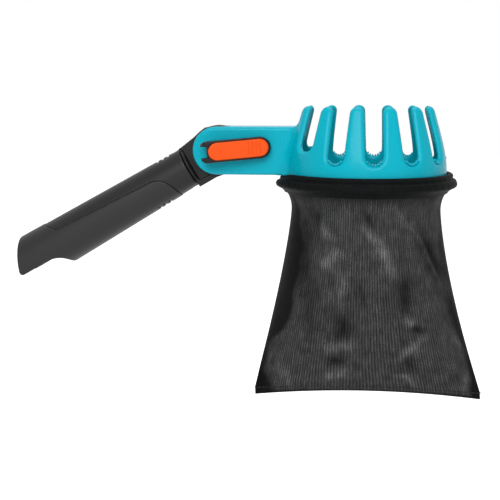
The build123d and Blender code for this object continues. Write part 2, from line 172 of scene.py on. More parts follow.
@dataclass(frozen=True)
class Mould:
    """Turns a field of signed distances into a mesh of quads.

    Attributes:
        low: lowest corner of the space that holds the solid, in millimetres.
        high: highest corner.
        step: size of a quad.
        block: steps along a block; blocks away from the surface are skipped.
        block_margin: how near the surface a block counts, as a share of its side.
        probe: reach of the slope's measure, as a share of a step.
        longest_move: the furthest that settling moves a point in a round, as a share of a step.
        least_slope: least squared slope that settling divides by.
        rounds: how often the points are settled.
    """

    low: Triple
    high: Triple
    step: float
    block: int = 6
    block_margin: float = 1.15
    probe: float = 0.1
    longest_move: float = 0.7
    least_slope: float = 0.2
    rounds: int = 3

    def sample(self, field: Field) -> Array:
        """The field's distances on the grid, worked out exactly only near the surface."""
        n = self.block
        counts = [int(math.ceil((h - l) / self.step / n)) + 1 for l, h in zip(self.low, self.high)]
        axes = [l + self.step * np.arange(c * n) for l, c in zip(self.low, counts)]
        middles = [a.reshape(-1, n).mean(1) for a in axes]
        coarse = field(*np.meshgrid(*middles, indexing="ij"))
        near = np.abs(coarse) < self.step * n * self.block_margin
        grid = np.repeat(np.repeat(np.repeat(coarse, n, 0), n, 1), n, 2)
        mask = np.repeat(np.repeat(np.repeat(near, n, 0), n, 1), n, 2)
        at = np.nonzero(mask)
        grid[mask] = field(*[a[i] for a, i in zip(axes, at)])
        return grid

    def surface(self, field: Field) -> tuple[Array, Array]:
        """The field's zero surface.

        Args:
            field: signed distance in millimetres.

        Returns:
            Points, and quads as rows of four indices, facing outwards.
        """
        grid = self.sample(field)
        inside = grid < 0
        corners = [inside[i:i - 1 or None, j:j - 1 or None, k:k - 1 or None] for i, j, k in CORNERS]
        total = sum(corner.astype(np.int8) for corner in corners)
        cells = np.array(np.nonzero((total > 0) & (total < 8))).T
        index = np.full(total.shape, -1, np.int64)
        index[tuple(cells.T)] = np.arange(len(cells))
        values = np.stack([grid[tuple((cells + c).T)] for c in CORNERS], 1)
        place, hits = np.zeros((len(cells), 3)), np.zeros(len(cells))
        for a, b in CELL_EDGES:
            crossed = (values[:, a] < 0) != (values[:, b] < 0)
            gap = np.where(crossed, values[:, a] - values[:, b], 1.0)
            share = (values[:, a] / gap)[:, None]
            place += np.where(crossed[:, None], CORNERS[a] + share * (CORNERS[b] - CORNERS[a]), 0)
            hits += crossed
        points = (cells + place / hits[:, None]) * self.step + np.array(self.low)
        quads = []
        for axis in range(3):
            u, v = (axis + 1) % 3, (axis + 2) % 3
            ahead = np.roll(inside, -1, axis)
            flips = np.array(np.nonzero(inside != ahead)).T
            flips = flips[(flips[:, u] > 0) & (flips[:, v] > 0) & (flips[:, axis] < inside.shape[axis] - 1)]
            flips = flips[(flips[:, u] < inside.shape[u] - 1) & (flips[:, v] < inside.shape[v] - 1)]
            ring = []
            for du, dv in ((1, 1), (0, 1), (0, 0), (1, 0)):
                cell = flips.copy()
                cell[:, u] -= du
                cell[:, v] -= dv
                ring.append(index[tuple(cell.T)])
            quad = np.stack(ring, 1)
            leaving = inside[tuple(flips.T)]
            quads.append(np.where(leaving[:, None], quad, quad[:, ::-1]))
        return self.settle(field, points), np.concatenate(quads)

    def settle(self, field: Field, points: Array) -> Array:
        """Moves points onto the field's zero surface along its slope."""
        reach, furthest = self.step * self.probe, self.step * self.longest_move
        for _ in range(self.rounds):
            slope = np.stack([
                field(*(points + step).T) - field(*(points - step).T)
                for step in reach * np.eye(3)], 1) / (2 * reach)
            length = np.maximum((slope ** 2).sum(1), self.least_slope)
            move = slope * (field(*points.T) / length)[:, None]
            points = points - np.clip(move, -furthest, furthest)
        return points


# ---- meshes ----------------------------------------------------------------------------------------


def linked(name: str, data: bpy.types.ID) -> Piece:
    """A new object of the scene, made from a mesh, a camera or a lamp."""
    piece = bpy.data.objects.new(name, data)
    bpy.context.scene.collection.objects.link(piece)
    return piece


def mesh_object(name: str, points: Array, faces: Array, smooth: bool = True) -> Piece:
    """A mesh object at the origin.

    Args:
        name: the piece's name.
        points: places in the row frame, in millimetres.
        faces: vertex indices of each face.
        smooth: whether its faces are shaded smooth.

    Returns:
        The linked object.
    """
    mesh = bpy.data.meshes.new(name)
    mesh.from_pydata((np.asarray(points, float) * MM).tolist(), [], np.asarray(faces).tolist())
    mesh.polygons.foreach_set("use_smooth", [smooth] * len(mesh.polygons))
    mesh.update()
    return linked(name, mesh)


def moulded(name: str, field: Field, mould: Mould, placed: Placed) -> Piece:
    """A piece whose surface is a field's, modelled in a frame of its own."""
    points, quads = mould.surface(field)
    piece = mesh_object(name, placed.to_row(points), quads)
    LOG.info("%s: %d quads", name, len(quads))
    return piece


def dress(piece: Piece, material: Material, body: str, slot: str, *nodes: str) -> None:
    """Gives a finished piece its material and body, and hides the CAD nodes that it stands for."""
    piece.data.materials.clear()
    piece.data.materials.append(material)
    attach(piece, body)
    if nodes:
        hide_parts(*nodes)


# ---- finishes --------------------------------------------------------------------------------------


def linear(hex_value: str) -> tuple[float, float, float, float]:
    """An sRGB hex value as a linear colour with full alpha."""
    parts = [int(hex_value[i:i + 2], 16) / 255 for i in (1, 3, 5)]
    return (*[c / 12.92 if c <= 0.04045 else ((c + 0.055) / 1.055) ** 2.4 for c in parts], 1.0)


def add_node(tree: Tree, kind: str, inputs: dict | None = None, **settings: object) -> bpy.types.Node:
    """Adds a node, sets it up and links its inputs.

    Args:
        tree: the node tree.
        kind: the node's type.
        inputs: values or sockets for its inputs, by name or index.
        settings: the node's own properties.

    Returns:
        The node.
    """
    node = tree.nodes.new(kind)
    for key, value in settings.items():
        setattr(node, key, value)
    for key, value in (inputs or {}).items():
        if isinstance(value, Socket):
            tree.links.new(value, node.inputs[key])
        else:
            node.inputs[key].default_value = value
    return node


def new_material(name: str) -> tuple[Material, Tree, bpy.types.Node]:
    """A new material, with its node tree and its main shader."""
    material = bpy.data.materials.new(name)
    material.use_nodes = True
    return material, material.node_tree, material.node_tree.nodes["Principled BSDF"]


def maths(tree: Tree, operation: str, *values: float | Socket) -> Socket:
    """The result of one step of arithmetic on sockets and constants."""
    return add_node(tree, "ShaderNodeMath", dict(enumerate(values)), operation=operation).outputs[0]


def noise(tree: Tree, place: Socket, size_mm: float, detail: float = 2.0) -> Socket:
    """A noise from 0 to 1 whose features are about this size."""
    return add_node(tree, "ShaderNodeTexNoise", {
        "Vector": place, "Scale": 1 / (size_mm * MM), "Detail": detail}).outputs["Fac"]


def spread(tree: Tree, value: Socket, to: Pair, of: Pair = (0.0, 1.0)) -> Socket:
    """Maps a value from its own range to another one."""
    limits = dict(enumerate((value, *of, *to)))
    return add_node(tree, "ShaderNodeMapRange", limits).outputs[0]


def blend(tree: Tree, share: Socket, first: str | Socket, second: str | Socket) -> Socket:
    """Mixes two colours, each an sRGB hex value or a socket."""
    pair = [linear(colour) if isinstance(colour, str) else colour for colour in (first, second)]
    return add_node(tree, "ShaderNodeMix", {0: share, 6: pair[0], 7: pair[1]}, data_type="RGBA").outputs[2]


def raised(tree: Tree, shader: bpy.types.Node, height: Socket, strength: float, depth_mm: float) -> None:
    """Gives the shader a fine relief of this depth."""
    relief = add_node(tree, "ShaderNodeBump", {
        "Height": height, "Strength": strength, "Distance": depth_mm * MM})
    tree.links.new(relief.outputs[0], shader.inputs["Normal"])


class Grain(Enum):
    """How a surface was textured in its tool: size of a grain in millimetres, and strength of its relief."""

    POLISHED = (1.2, 0.0125)
    SPARKED = (0.5, 0.25)
    SOFT = (0.5, 0.3)
    SATIN = (0.5, 0.2)
    SPUN = (0.3, 0.2)


@dataclass(frozen=True)
class Plastic:
    """An injection-moulded plastic.

    Attributes:
        name: the material's name.
        colour: its pigment.
        deep: a slightly darker pigment, for flow marks.
        roughness: mean roughness.
        grain: the tool's texture.
        specular: strength of its plain reflection.
        coat: gloss of the skin that a polished tool leaves.
        coat_roughness: roughness of that skin.
        flow_mm: size of the flow marks.
        uneven: how far the roughness strays to either side.
        relief_mm: depth of the texture.
        ior: index of refraction.
    """

    name: str
    colour: str
    deep: str
    roughness: float
    grain: Grain
    specular: float
    coat: float = 0.0
    coat_roughness: float = 0.12
    flow_mm: float = 28.0
    uneven: float = 0.06
    relief_mm: float = 0.1
    ior: float = 1.5

    def build(self) -> Material:
        """The finish as a material."""
        material, tree, shader = new_material(self.name)
        size_mm, strength = self.grain.value
        place = add_node(tree, "ShaderNodeTexCoord").outputs["Object"]
        tint = blend(tree, noise(tree, place, self.flow_mm, 3.0), self.deep, self.colour)
        tree.links.new(tint, shader.inputs["Base Color"])
        grain = noise(tree, place, size_mm, 4.0)
        rough = spread(tree, grain, (self.roughness - self.uneven, self.roughness + self.uneven))
        tree.links.new(rough, shader.inputs["Roughness"])
        raised(tree, shader, grain, strength, self.relief_mm)
        shader.inputs["IOR"].default_value = self.ior
        shader.inputs["Specular IOR Level"].default_value = self.specular
        shader.inputs["Coat Weight"].default_value = self.coat
        shader.inputs["Coat Roughness"].default_value = self.coat_roughness
        return material


TEAL = Plastic("teal_abs", "#00B4C8", "#00AABF", 0.28, Grain.POLISHED, 0.13, coat=0.03)
SLEEVE_GREY = Plastic("sleeve_nylon", "#171717", "#121212", 0.42, Grain.SPARKED, 0.28)
# The inlay's lighter grey is partly its own softer plastic, partly painted light from below on the lower
# side.
INLAY_GREY = Plastic("inlay_tpe", "#202020", "#1B1B1B", 0.45, Grain.SOFT, 0.3)
JOINT_GREY = Plastic("joint_nylon", "#171717", "#121212", 0.42, Grain.SATIN, 0.22)
LEVER_GREY = Plastic("lever_nylon", "#151515", "#101010", 0.45, Grain.SATIN, 0.22)
ORANGE = Plastic("orange_abs", "#FC5C1E", "#F35414", 0.4, Grain.POLISHED, 0.12, coat=0.03)
THREAD = Plastic("polyester_thread", "#1D1D1D", "#181818", 0.6, Grain.SPUN, 0.3)


# ---- what repeats along a path ---------------------------------------------------------------------


@dataclass(frozen=True)
class AlongPath:
    """Small rods or wedges laid along paths by a Geometry Nodes tree.

    Attributes:
        name: the piece's name.
        pitch: distance from one to the next, in millimetres.
        length: length of one.
        radius: its radius.
        sides: sides of its section; three make a wedge.
    """

    name: str
    pitch: float
    length: float
    radius: float
    sides: int

    def tree(self, material: Material) -> tuple[Tree, dict[str, str]]:
        """The node tree, and the identifiers of its size inputs by name."""
        tree = bpy.data.node_groups.new(self.name, "GeometryNodeTree")
        face = tree.interface
        face.new_socket("Geometry", in_out="INPUT", socket_type="NodeSocketGeometry")
        sizes = {label: face.new_socket(label, in_out="INPUT", socket_type="NodeSocketFloat").identifier
                 for label in ("Pitch", "Length", "Radius")}
        face.new_socket("Geometry", in_out="OUTPUT", socket_type="NodeSocketGeometry")
        given = add_node(tree, "NodeGroupInput").outputs
        path = add_node(tree, "GeometryNodeMeshToCurve", {0: given["Geometry"]})
        even = add_node(tree, "GeometryNodeResampleCurve", {
            "Curve": path.outputs[0], "Length": given["Pitch"]}, mode="LENGTH")
        rod = add_node(tree, "GeometryNodeMeshCylinder", {
            "Vertices": self.sides, "Radius": given["Radius"], "Depth": given["Length"]})
        aim, rise = (add_node(
            tree, "GeometryNodeInputNamedAttribute", {"Name": name}, data_type="FLOAT_VECTOR").outputs[0]
            for name in ("aim", "rise"))
        laid = add_node(tree, "FunctionNodeAlignRotationToVector", {"Vector": aim}, axis="Z")
        turned = add_node(tree, "FunctionNodeAlignRotationToVector", {
            "Rotation": laid.outputs[0], "Vector": rise}, axis="X", pivot_axis="Z")
        placed = add_node(tree, "GeometryNodeInstanceOnPoints", {
            "Points": even.outputs[0], "Instance": rod.outputs["Mesh"], "Rotation": turned.outputs[0]})
        solid = add_node(tree, "GeometryNodeRealizeInstances", {0: placed.outputs[0]})
        finished = add_node(tree, "GeometryNodeSetMaterial", {
            "Geometry": solid.outputs[0], "Material": material})
        add_node(tree, "NodeGroupOutput", {0: finished.outputs[0]})
        return tree, sizes

    def build(self, paths: Sequence[tuple[Array, Array, Array]], material: Material, closed: bool) -> Piece:
        """Lays the rods and turns them into a plain mesh.

        Args:
            paths: for each path its points in millimetres, each one's long direction, and its upward one.
            material: the rods' material.
            closed: whether the paths close.

        Returns:
            The finished object.
        """
        mesh = bpy.data.meshes.new(self.name + "_path")
        edges, start = [], 0
        for points, _, _ in paths:
            count = len(points)
            edges += [(start + i, start + (i + 1) % count) for i in range(count if closed else count - 1)]
            start += count
        mesh.from_pydata((np.concatenate([path[0] for path in paths]) * MM).tolist(), edges, [])
        for column, label in ((1, "aim"), (2, "rise")):
            values = np.concatenate([np.broadcast_to(path[column], path[0].shape) for path in paths])
            layer = mesh.attributes.new(label, "FLOAT_VECTOR", "POINT")
            layer.data.foreach_set("vector", values.astype(np.float32).ravel())
        carrier = linked(self.name + "_path", mesh)
        tree, sizes = self.tree(material)
        modifier = carrier.modifiers.new("along_path", "NODES")
        modifier.node_group = tree
        for label, value in (("Pitch", self.pitch), ("Length", self.length), ("Radius", self.radius)):
            modifier[sizes[label]] = value * MM
        bpy.context.view_layer.update()
        result = bpy.data.meshes.new_from_object(carrier.evaluated_get(bpy.context.evaluated_depsgraph_get()))
        carrier.modifiers.remove(modifier)
        bpy.data.objects.remove(carrier)
        LOG.info("%s: %d faces", self.name, len(result.polygons))
        return linked(self.name, result)


# ---- places that the frame gives -------------------------------------------------------------------


@dataclass(frozen=True)
class Layout:
    """Frames of the sub-assemblies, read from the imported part.

    Attributes:
        sleeve: along the pole's axis, from the mouth of its socket.
        head: on the tilt axis, level.
        lever: on the tilt axis, along the closed lever.
        ring: on the ring's own axis, level with the tilt axis.
        front: from the socket's mouth to the sleeve's front end, in millimetres.
        lever_pin: place of the lever's pin along Y, in millimetres, negative on the lever's side.
    """

    sleeve: Placed
    head: Placed
    lever: Placed
    ring: Placed
    front: float
    lever_pin: float

    @classmethod
    def of(cls, frame: dict) -> "Layout":
        """Works the frames out from the record's joints and the CAD nodes' boxes.


        Returns:
            The layout.
        """
        joints = {joint["name"]: joint for joint in frame["joints"]}
        pivot = Vector(joints["head_tilt"]["pos_m"]) / MM
        pin = Vector(joints["lever_flip"]["pos_m"]) / MM
        mount = Vector(frame["record"]["mounts"][0]["axis"])
        rise = math.degrees(math.atan2(-mount.z, -mount.x))
        lever_axis = Vector(joints["lever_flip"]["axis"])
        lever_rise = math.degrees(math.atan2(lever_axis.x, -lever_axis.z))
        low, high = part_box("crown_ring")
        ring_x = (low.x + high.x) / 2 / MM
        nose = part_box("handle_sleeve")[1].x / MM
        radius = PoleSleeve.front_radius
        front = (nose - radius * math.sin(math.radians(rise))) / math.cos(math.radians(rise))
        return cls(
            sleeve=Placed((0.0, 0.0, 0.0), rise),
            head=Placed(tuple(pivot)),
            lever=Placed(tuple(pivot), lever_rise),
            ring=Placed((ring_x, 0.0, pivot.z)),
            front=front,
            lever_pin=pin.y)


# ---- the picking crown and its arm ------------------------------------------------------------------


@dataclass
class PickerMoulding:
    """The turquoise moulding: arm, ring, fingers and the lip that the bag hangs on.

    Attributes are millimetres or degrees, as on the drawing. The lean's slope stops changing lean_over
    times lean_bend away from its start.
    """

    layout: Layout
    ring_radius: float = 57.5
    ring_wall: float = 4.2
    finger_wall: float = 5.0
    tip_height: float = 32.0
    tip_radius: float = 48.0
    lean_start: float = -4.0
    lean_bend: float = 5.0
    lean_over: float = 30.0
    slot_floor: float = -7.0
    raised_floor: float = 1.4
    finger_pitch: float = 28.0
    last_finger: float = 157.0
    finger_base: float = 15.6
    finger_tip: float = 10.2
    slot_fillet: float = 5.6
    finger_edge: float = 3.0
    lip_radius: float = 63.5
    lip_thickness: float = 2.5
    ring_bottom: float = -24.4
    arm_half_height: float = 17.2
    arm_half_width: float = 14.5
    arm_edge: float = 2.4
    arm_fillet: float = 6.0
    slot_half_width: float = 10.0
    arm_roof: float = 3.5
    arm_end_wall: float = 3.5
    tongue_slot_radius: float = 18.6
    bolt_hole: float = 3.08
    boss_radius: float = 8.6
    boss_height: float = 4.0
    nut_flats: float = 10.2
    nut_depth: float = 5.0
    even_pitches: int = 5
    finger_count: int = 12
    raised_delay: float = 1.5
    raised_rate: float = 2.0
    ring_edge: float = 0.8
    lip_edge: float = 0.9
    lip_fillet: float = 0.8
    end_edge: float = 0.5
    boss_edge: float = 1.2
    boss_fillet: float = 1.5
    channel_corner: float = 0.6
    channel_edge: float = 0.7
    nut_edge: float = 0.4
    hole_edge: float = 0.3
    margin: float = 1.5
    grid: float = 0.78

    @property
    def reach(self) -> float:
        """From the tilt axis to the ring's axis."""
        return self.layout.ring.origin[0] - self.layout.head.origin[0]

    def middle_radius(self, z: Array) -> tuple[Array, Array]:
        """Radius of the middle of the crown's wall at a height, and its slope there."""
        straight = self.ring_radius - self.ring_wall / 2
        leaned = self.tip_radius - self.finger_wall / 2
        slope = (straight - leaned) / (self.tip_height - self.finger_wall / 2 - self.lean_start)
        rise = (z - self.lean_start) / self.lean_bend
        soft = self.lean_bend * np.logaddexp(0, rise)
        return straight - slope * soft, slope / (1 + np.exp(-np.clip(rise, -self.lean_over, self.lean_over)))

    def wall(self, radius: Array, z: Array) -> Array:
        """Distance to the crown's wall, endless up and down."""
        middle, slope = self.middle_radius(z)
        share = np.clip((z - self.lean_start) / (self.tip_height - self.lean_start), 0, 1)
        half = (self.ring_wall + (self.finger_wall - self.ring_wall) * share) / 2
        return np.abs(radius - middle) / np.sqrt(1 + slope ** 2) - half

    def comb(self, x: Array, y: Array, z: Array) -> Array:
        """Distance to the fingers and slots, as they are cut through the wall."""
        radius, angle = np.hypot(x, y), np.degrees(np.arctan2(np.abs(y), x))
        last_slot = self.finger_pitch * self.even_pitches
        even = (np.floor(angle / self.finger_pitch) + 0.5) * self.finger_pitch
        centre = np.where(angle < last_slot, even, self.last_finger)
        across = np.abs(radius * np.sin(np.radians(angle - centre)))
        base, tip = self.finger_base / 2, self.finger_tip / 2
        shoulder = self.tip_height - tip
        taper = (base - tip) / (shoulder - self.slot_floor)
        flank = (across - base + taper * (z - self.slot_floor)) / math.hypot(1, taper)
        top = np.hypot(across, z - shoulder) - tip
        finger = np.where(z > shoulder, top, flank)
        beside_arm = last_slot - self.finger_pitch / 2
        share = 1 / (1 + np.exp(-(angle - beside_arm - self.raised_delay) * self.raised_rate))
        floor = z - self.slot_floor - (self.raised_floor - self.slot_floor) * share
        return join(finger, floor, self.slot_fillet)

    def crown(self, x: Array, y: Array, z: Array) -> Array:
        """Distance to the ring, its fingers and the bag's lip, about the ring's axis."""
        radius = np.hypot(x, y)
        wall = keep(self.wall(radius, z), self.ring_bottom - z, self.ring_edge)
        crown = keep(wall, self.comb(x, y, z), self.finger_edge)
        lip = keep(
            band(radius, self.ring_radius - self.ring_wall / 2, self.lip_radius),
            band(z, self.ring_bottom, self.ring_bottom + self.lip_thickness), self.lip_edge)
        return join(crown, lip, self.lip_fillet)

    def arm(self, x: Array, y: Array, z: Array) -> Array:
        """Distance to the two cheeks under their roof, about the tilt axis."""
        side = np.where(x < 0, np.hypot(x, z), np.abs(z)) - self.arm_half_height
        solid = keep(side, np.abs(y) - self.arm_half_width, self.arm_edge)
        solid = keep(solid, x - self.reach, self.end_edge)
        far = self.arm_half_width + self.boss_height
        bolt = np.hypot(x, z)
        boss = keep(bolt - self.boss_radius, band(y, 0, far), self.boss_edge)
        solid = join(solid, boss, self.boss_fillet)
        end = self.reach - self.ring_radius - self.arm_end_wall
        under_roof = keep(x - end, z - (self.arm_half_height - self.arm_roof), 0.0)
        channel = np.minimum(under_roof, bolt - self.tongue_slot_radius)
        channel = keep(channel, np.abs(y) - self.slot_half_width, self.channel_corner)
        solid = cut(solid, channel, self.channel_edge)
        flats = [np.abs(x * math.cos(a) + z * math.sin(a)) for a in (math.pi / 2, math.pi / 6, -math.pi / 6)]
        hexagon = np.maximum.reduce(flats) - self.nut_flats / 2
        solid = cut(solid, np.maximum(hexagon, far - self.nut_depth - y), self.nut_edge)
        return cut(solid, bolt - self.bolt_hole, self.hole_edge)

    def field(self, x: Array, y: Array, z: Array) -> Array:
        """Distance to the whole moulding, about the tilt axis."""
        ring_x = x - self.reach
        radius = np.hypot(ring_x, y)
        crown = self.crown(ring_x, y, z)
        middle, slope = self.middle_radius(z)
        room = (radius - middle) / np.sqrt(1 + slope ** 2) + self.ring_wall / 2
        arm = cut(self.arm(x, y, z), room, self.ring_edge)
        under_lip = keep(radius - self.ring_radius, z + self.arm_half_height, 0.0)
        arm = cut(arm, np.minimum(under_lip, room), 0.0)
        return join(crown, arm, self.arm_fillet)

    def build(self) -> None:
        """The moulding as one piece on the head, in place of its CAD solids."""
        pad = self.margin
        mould = Mould(
            (-self.arm_half_height - pad, -self.lip_radius - pad, self.ring_bottom - pad),
            (self.reach + self.lip_radius + pad, self.lip_radius + pad, self.tip_height + pad), self.grid)
        piece = moulded("picker_moulding", self.field, mould, self.layout.head)
        fingers = [f"finger_{number:02d}" for number in range(1, self.finger_count + 1)]
        dress(piece, TEAL.build(), "head", "picker_plastic",
              "arm", "crown_ring", "crown_saddle", "bag_flange", *fingers)


@dataclass
class SlotTeeth:
    """Fine gripping teeth along the floor of each slot, which nip a stalk.

    Attributes are millimetres or degrees, as on the drawing.
    """

    layout: Layout
    moulding: PickerMoulding
    count: int = 6
    pitch: float = 1.8
    length: float = 2.7
    size: float = 1.0
    lift: float = 0.35
    toothed_a_side: int = 4

    def build(self) -> None:
        """The teeth of all slots as one piece on the head."""
        moulding = self.moulding
        radius = moulding.ring_radius - moulding.ring_wall / 2
        half = (self.count - 1) / 2 * self.pitch
        paths = []
        for slot in range(-self.toothed_a_side, self.toothed_a_side + 1):
            middle = math.radians(slot * moulding.finger_pitch)
            turn = middle + np.linspace(-half, half, self.count) / radius
            floor = self.floor(np.abs(turn - middle) * radius)
            points = np.stack([radius * np.cos(turn), radius * np.sin(turn), floor], -1)
            outward = np.stack([np.cos(turn), np.sin(turn), 0 * turn], -1)
            paths.append((self.layout.ring.to_row(points), outward, np.array([0.0, 0.0, 1.0])))
        row = AlongPath("slot_teeth", self.pitch, self.length, self.size, sides=3)
        teeth = row.build(paths, TEAL.build(), closed=False)
        dress(teeth, TEAL.build(), "head", "picker_plastic")

    def floor(self, across: Array) -> Array:
        """Height of the teeth's middles this far from the slot's middle."""
        moulding = self.moulding
        base = moulding.finger_base / 2
        pitch = math.radians(moulding.finger_pitch) * (moulding.ring_radius - moulding.ring_wall / 2)
        gap = np.maximum(pitch / 2 - base - across, 0)
        fillet = moulding.slot_fillet
        rise = fillet - np.sqrt(fillet ** 2 - np.maximum(fillet - gap, 0) ** 2)
        return moulding.slot_floor + rise + self.lift


# ---- the pole sleeve and its joint -----------------------------------------------------------------


@dataclass
class PoleSleeve:
    """The grey sleeve that takes the pole, with its soft inlay.

    Attributes are millimetres or degrees, as on the drawing.
    """

    layout: Layout
    front_radius: float = 14.7
    rear_radius: float = 18.4
    bore: float = 13.05
    trough: float = 13.65
    bore_depth: float = 88.0
    pocket_floor: float = 92.0
    pocket_radius: float = 9.04
    scoop_reach: float = 35.0
    scoop_slant: float = 23.0
    scoop_floor: float = 7.8
    scoop_curve: float = 11.0
    scoop_foot: float = 3.0
    corner: float = 3.4
    groove_count: int = 3
    groove_pitch: float = 4.4
    groove_setback: float = 10.4
    groove_stagger: float = 14.7
    groove_width: float = 1.9
    groove_depth: float = 0.9
    groove_half_span: float = 7.0
    inlay_depth: float = 1.2
    inlay_proud: float = 0.4
    inlay_top: float = 8.6
    inlay_fall: float = 4.6
    inlay_shoulder: float = 6.6
    inlay_climb: float = 10.0
    inlay_nose: float = 14.7
    inlay_front_gap: float = 15.0
    inlay_heel: float = 2.0
    inlay_corner: float = 0.5
    inlay_rim: float = 0.2
    inlay_end: float = 0.6
    inlay_groove_edge: float = 0.4
    side_edge: float = 1.2
    front_edge: float = 1.0
    bed_edge: float = 0.35
    groove_edge: float = 0.45
    hollow_edge: float = 0.6
    pin_setback: float = 4.5
    pin_radius: float = 2.03
    margin: float = 1.5
    grid: float = 0.62

    def skin(self, x: Array, y: Array, z: Array) -> Array:
        """Distance to the sleeve's tapered outside."""
        slope = (self.front_radius - self.rear_radius) / (self.layout.front + self.scoop_reach)
        radius = self.rear_radius + slope * (x + self.scoop_reach)
        return (np.hypot(y, z) - radius) / math.hypot(1, slope)

    def side(self, x: Array, z: Array) -> Array:
        """Distance to the sleeve's side view: slanted rear face and the scoop under it."""
        lean = math.radians(self.scoop_slant)
        rear = (-self.scoop_reach + (z + self.scoop_floor) * math.tan(lean) - x) * math.cos(lean)
        depth = self.rear_radius - self.scoop_floor
        start, width = -self.scoop_curve, self.scoop_curve + self.scoop_foot
        flat = np.maximum(z + self.scoop_floor, x - start)
        curve = (np.hypot((x - start) / width, (z + self.rear_radius) / depth) - 1) * depth
        scoop = np.minimum(flat, curve)
        ends = keep(rear, -scoop, self.corner)
        return keep(ends, x - self.layout.front, self.front_edge)

    def inlay_side(self, x: Array, z: Array) -> Array:
        """Distance to the inlay's side view."""
        nose_start = self.layout.front - self.inlay_front_gap - self.inlay_nose
        slope = self.inlay_fall / (nose_start - self.inlay_shoulder)
        edge = z - self.inlay_top + slope * (x - self.inlay_shoulder)
        climb = self.inlay_climb / (self.rear_radius - self.inlay_top)
        rear = (x - self.inlay_shoulder + (z - self.inlay_top) * climb) / math.hypot(1, climb)
        low = join(edge, rear, self.inlay_heel)
        height = self.front_radius + self.inlay_top - self.inlay_fall
        ahead = np.maximum(x - nose_start, 0) / self.inlay_nose
        bow = (np.hypot(ahead, np.maximum(z + self.front_radius, 0) / height) - 1) * self.inlay_nose
        return np.where(x > nose_start, np.maximum(bow, -self.inlay_nose), low)

    def hollow(self, x: Array, y: Array, z: Array) -> Array:
        """Distance to the socket, the trough behind it and the shank's pocket."""
        radius = np.hypot(y, z)
        socket = np.maximum(radius - np.where(x < 0, self.trough, self.bore), x - self.bore_depth)
        pocket = np.maximum(radius - self.pocket_radius, self.pocket_floor - x)
        pin = np.hypot(x - (self.layout.front - self.pin_setback), y) - self.pin_radius
        return np.minimum(np.minimum(socket, pocket), pin)

    def grooves(self, x: Array, y: Array, z: Array) -> Array:
        """Distance to the thumb grooves, over the top and further back under the bottom."""
        first = self.layout.front - self.groove_setback - np.where(z < 0, self.groove_stagger, 0.0)
        index = np.clip(np.round((first - x) / self.groove_pitch), 0, self.groove_count - 1)
        along = np.abs(x - first + index * self.groove_pitch) - self.groove_width / 2
        deep = -self.groove_depth - self.skin(x, y, z)
        return np.maximum(np.maximum(along, deep), np.abs(y) - self.groove_half_span)

    def sleeve_field(self, x: Array, y: Array, z: Array) -> Array:
        """Distance to the sleeve without its inlay."""
        skin = self.skin(x, y, z)
        solid = keep(skin, self.side(x, z), self.side_edge)
        bed = np.maximum(self.inlay_side(x, z), -self.inlay_depth - skin)
        solid = cut(solid, bed, self.bed_edge)
        solid = cut(solid, self.grooves(x, y, z), self.groove_edge)
        return cut(solid, self.hollow(x, y, z), self.hollow_edge)

    def inlay_field(self, x: Array, y: Array, z: Array) -> Array:
        """Distance to the inlay."""
        skin = self.skin(x, y, z)
        layer = keep(skin - self.inlay_proud, -self.inlay_depth - skin, self.inlay_rim)
        pad = keep(layer, self.inlay_side(x, z), self.inlay_corner)
        pad = keep(pad, self.side(x, z), self.inlay_end)
        return cut(pad, self.grooves(x, y, z), self.inlay_groove_edge)

    def build(self) -> None:
        """The sleeve and its inlay, on the handle."""
        wide = self.rear_radius + self.margin
        rear, front = -self.scoop_reach - self.margin, self.layout.front + self.margin
        mould = Mould((rear, -wide, -wide), (front, wide, wide), self.grid)
        sleeve = moulded("pole_sleeve", self.sleeve_field, mould, self.layout.sleeve)
        dress(sleeve, SLEEVE_GREY.build(), "handle", "sleeve_plastic", "handle_sleeve")
        inlay = moulded("sleeve_inlay", self.inlay_field, mould, self.layout.sleeve)
        dress(inlay, INLAY_GREY.build(), "handle", "grip_soft", "grip_inlay")


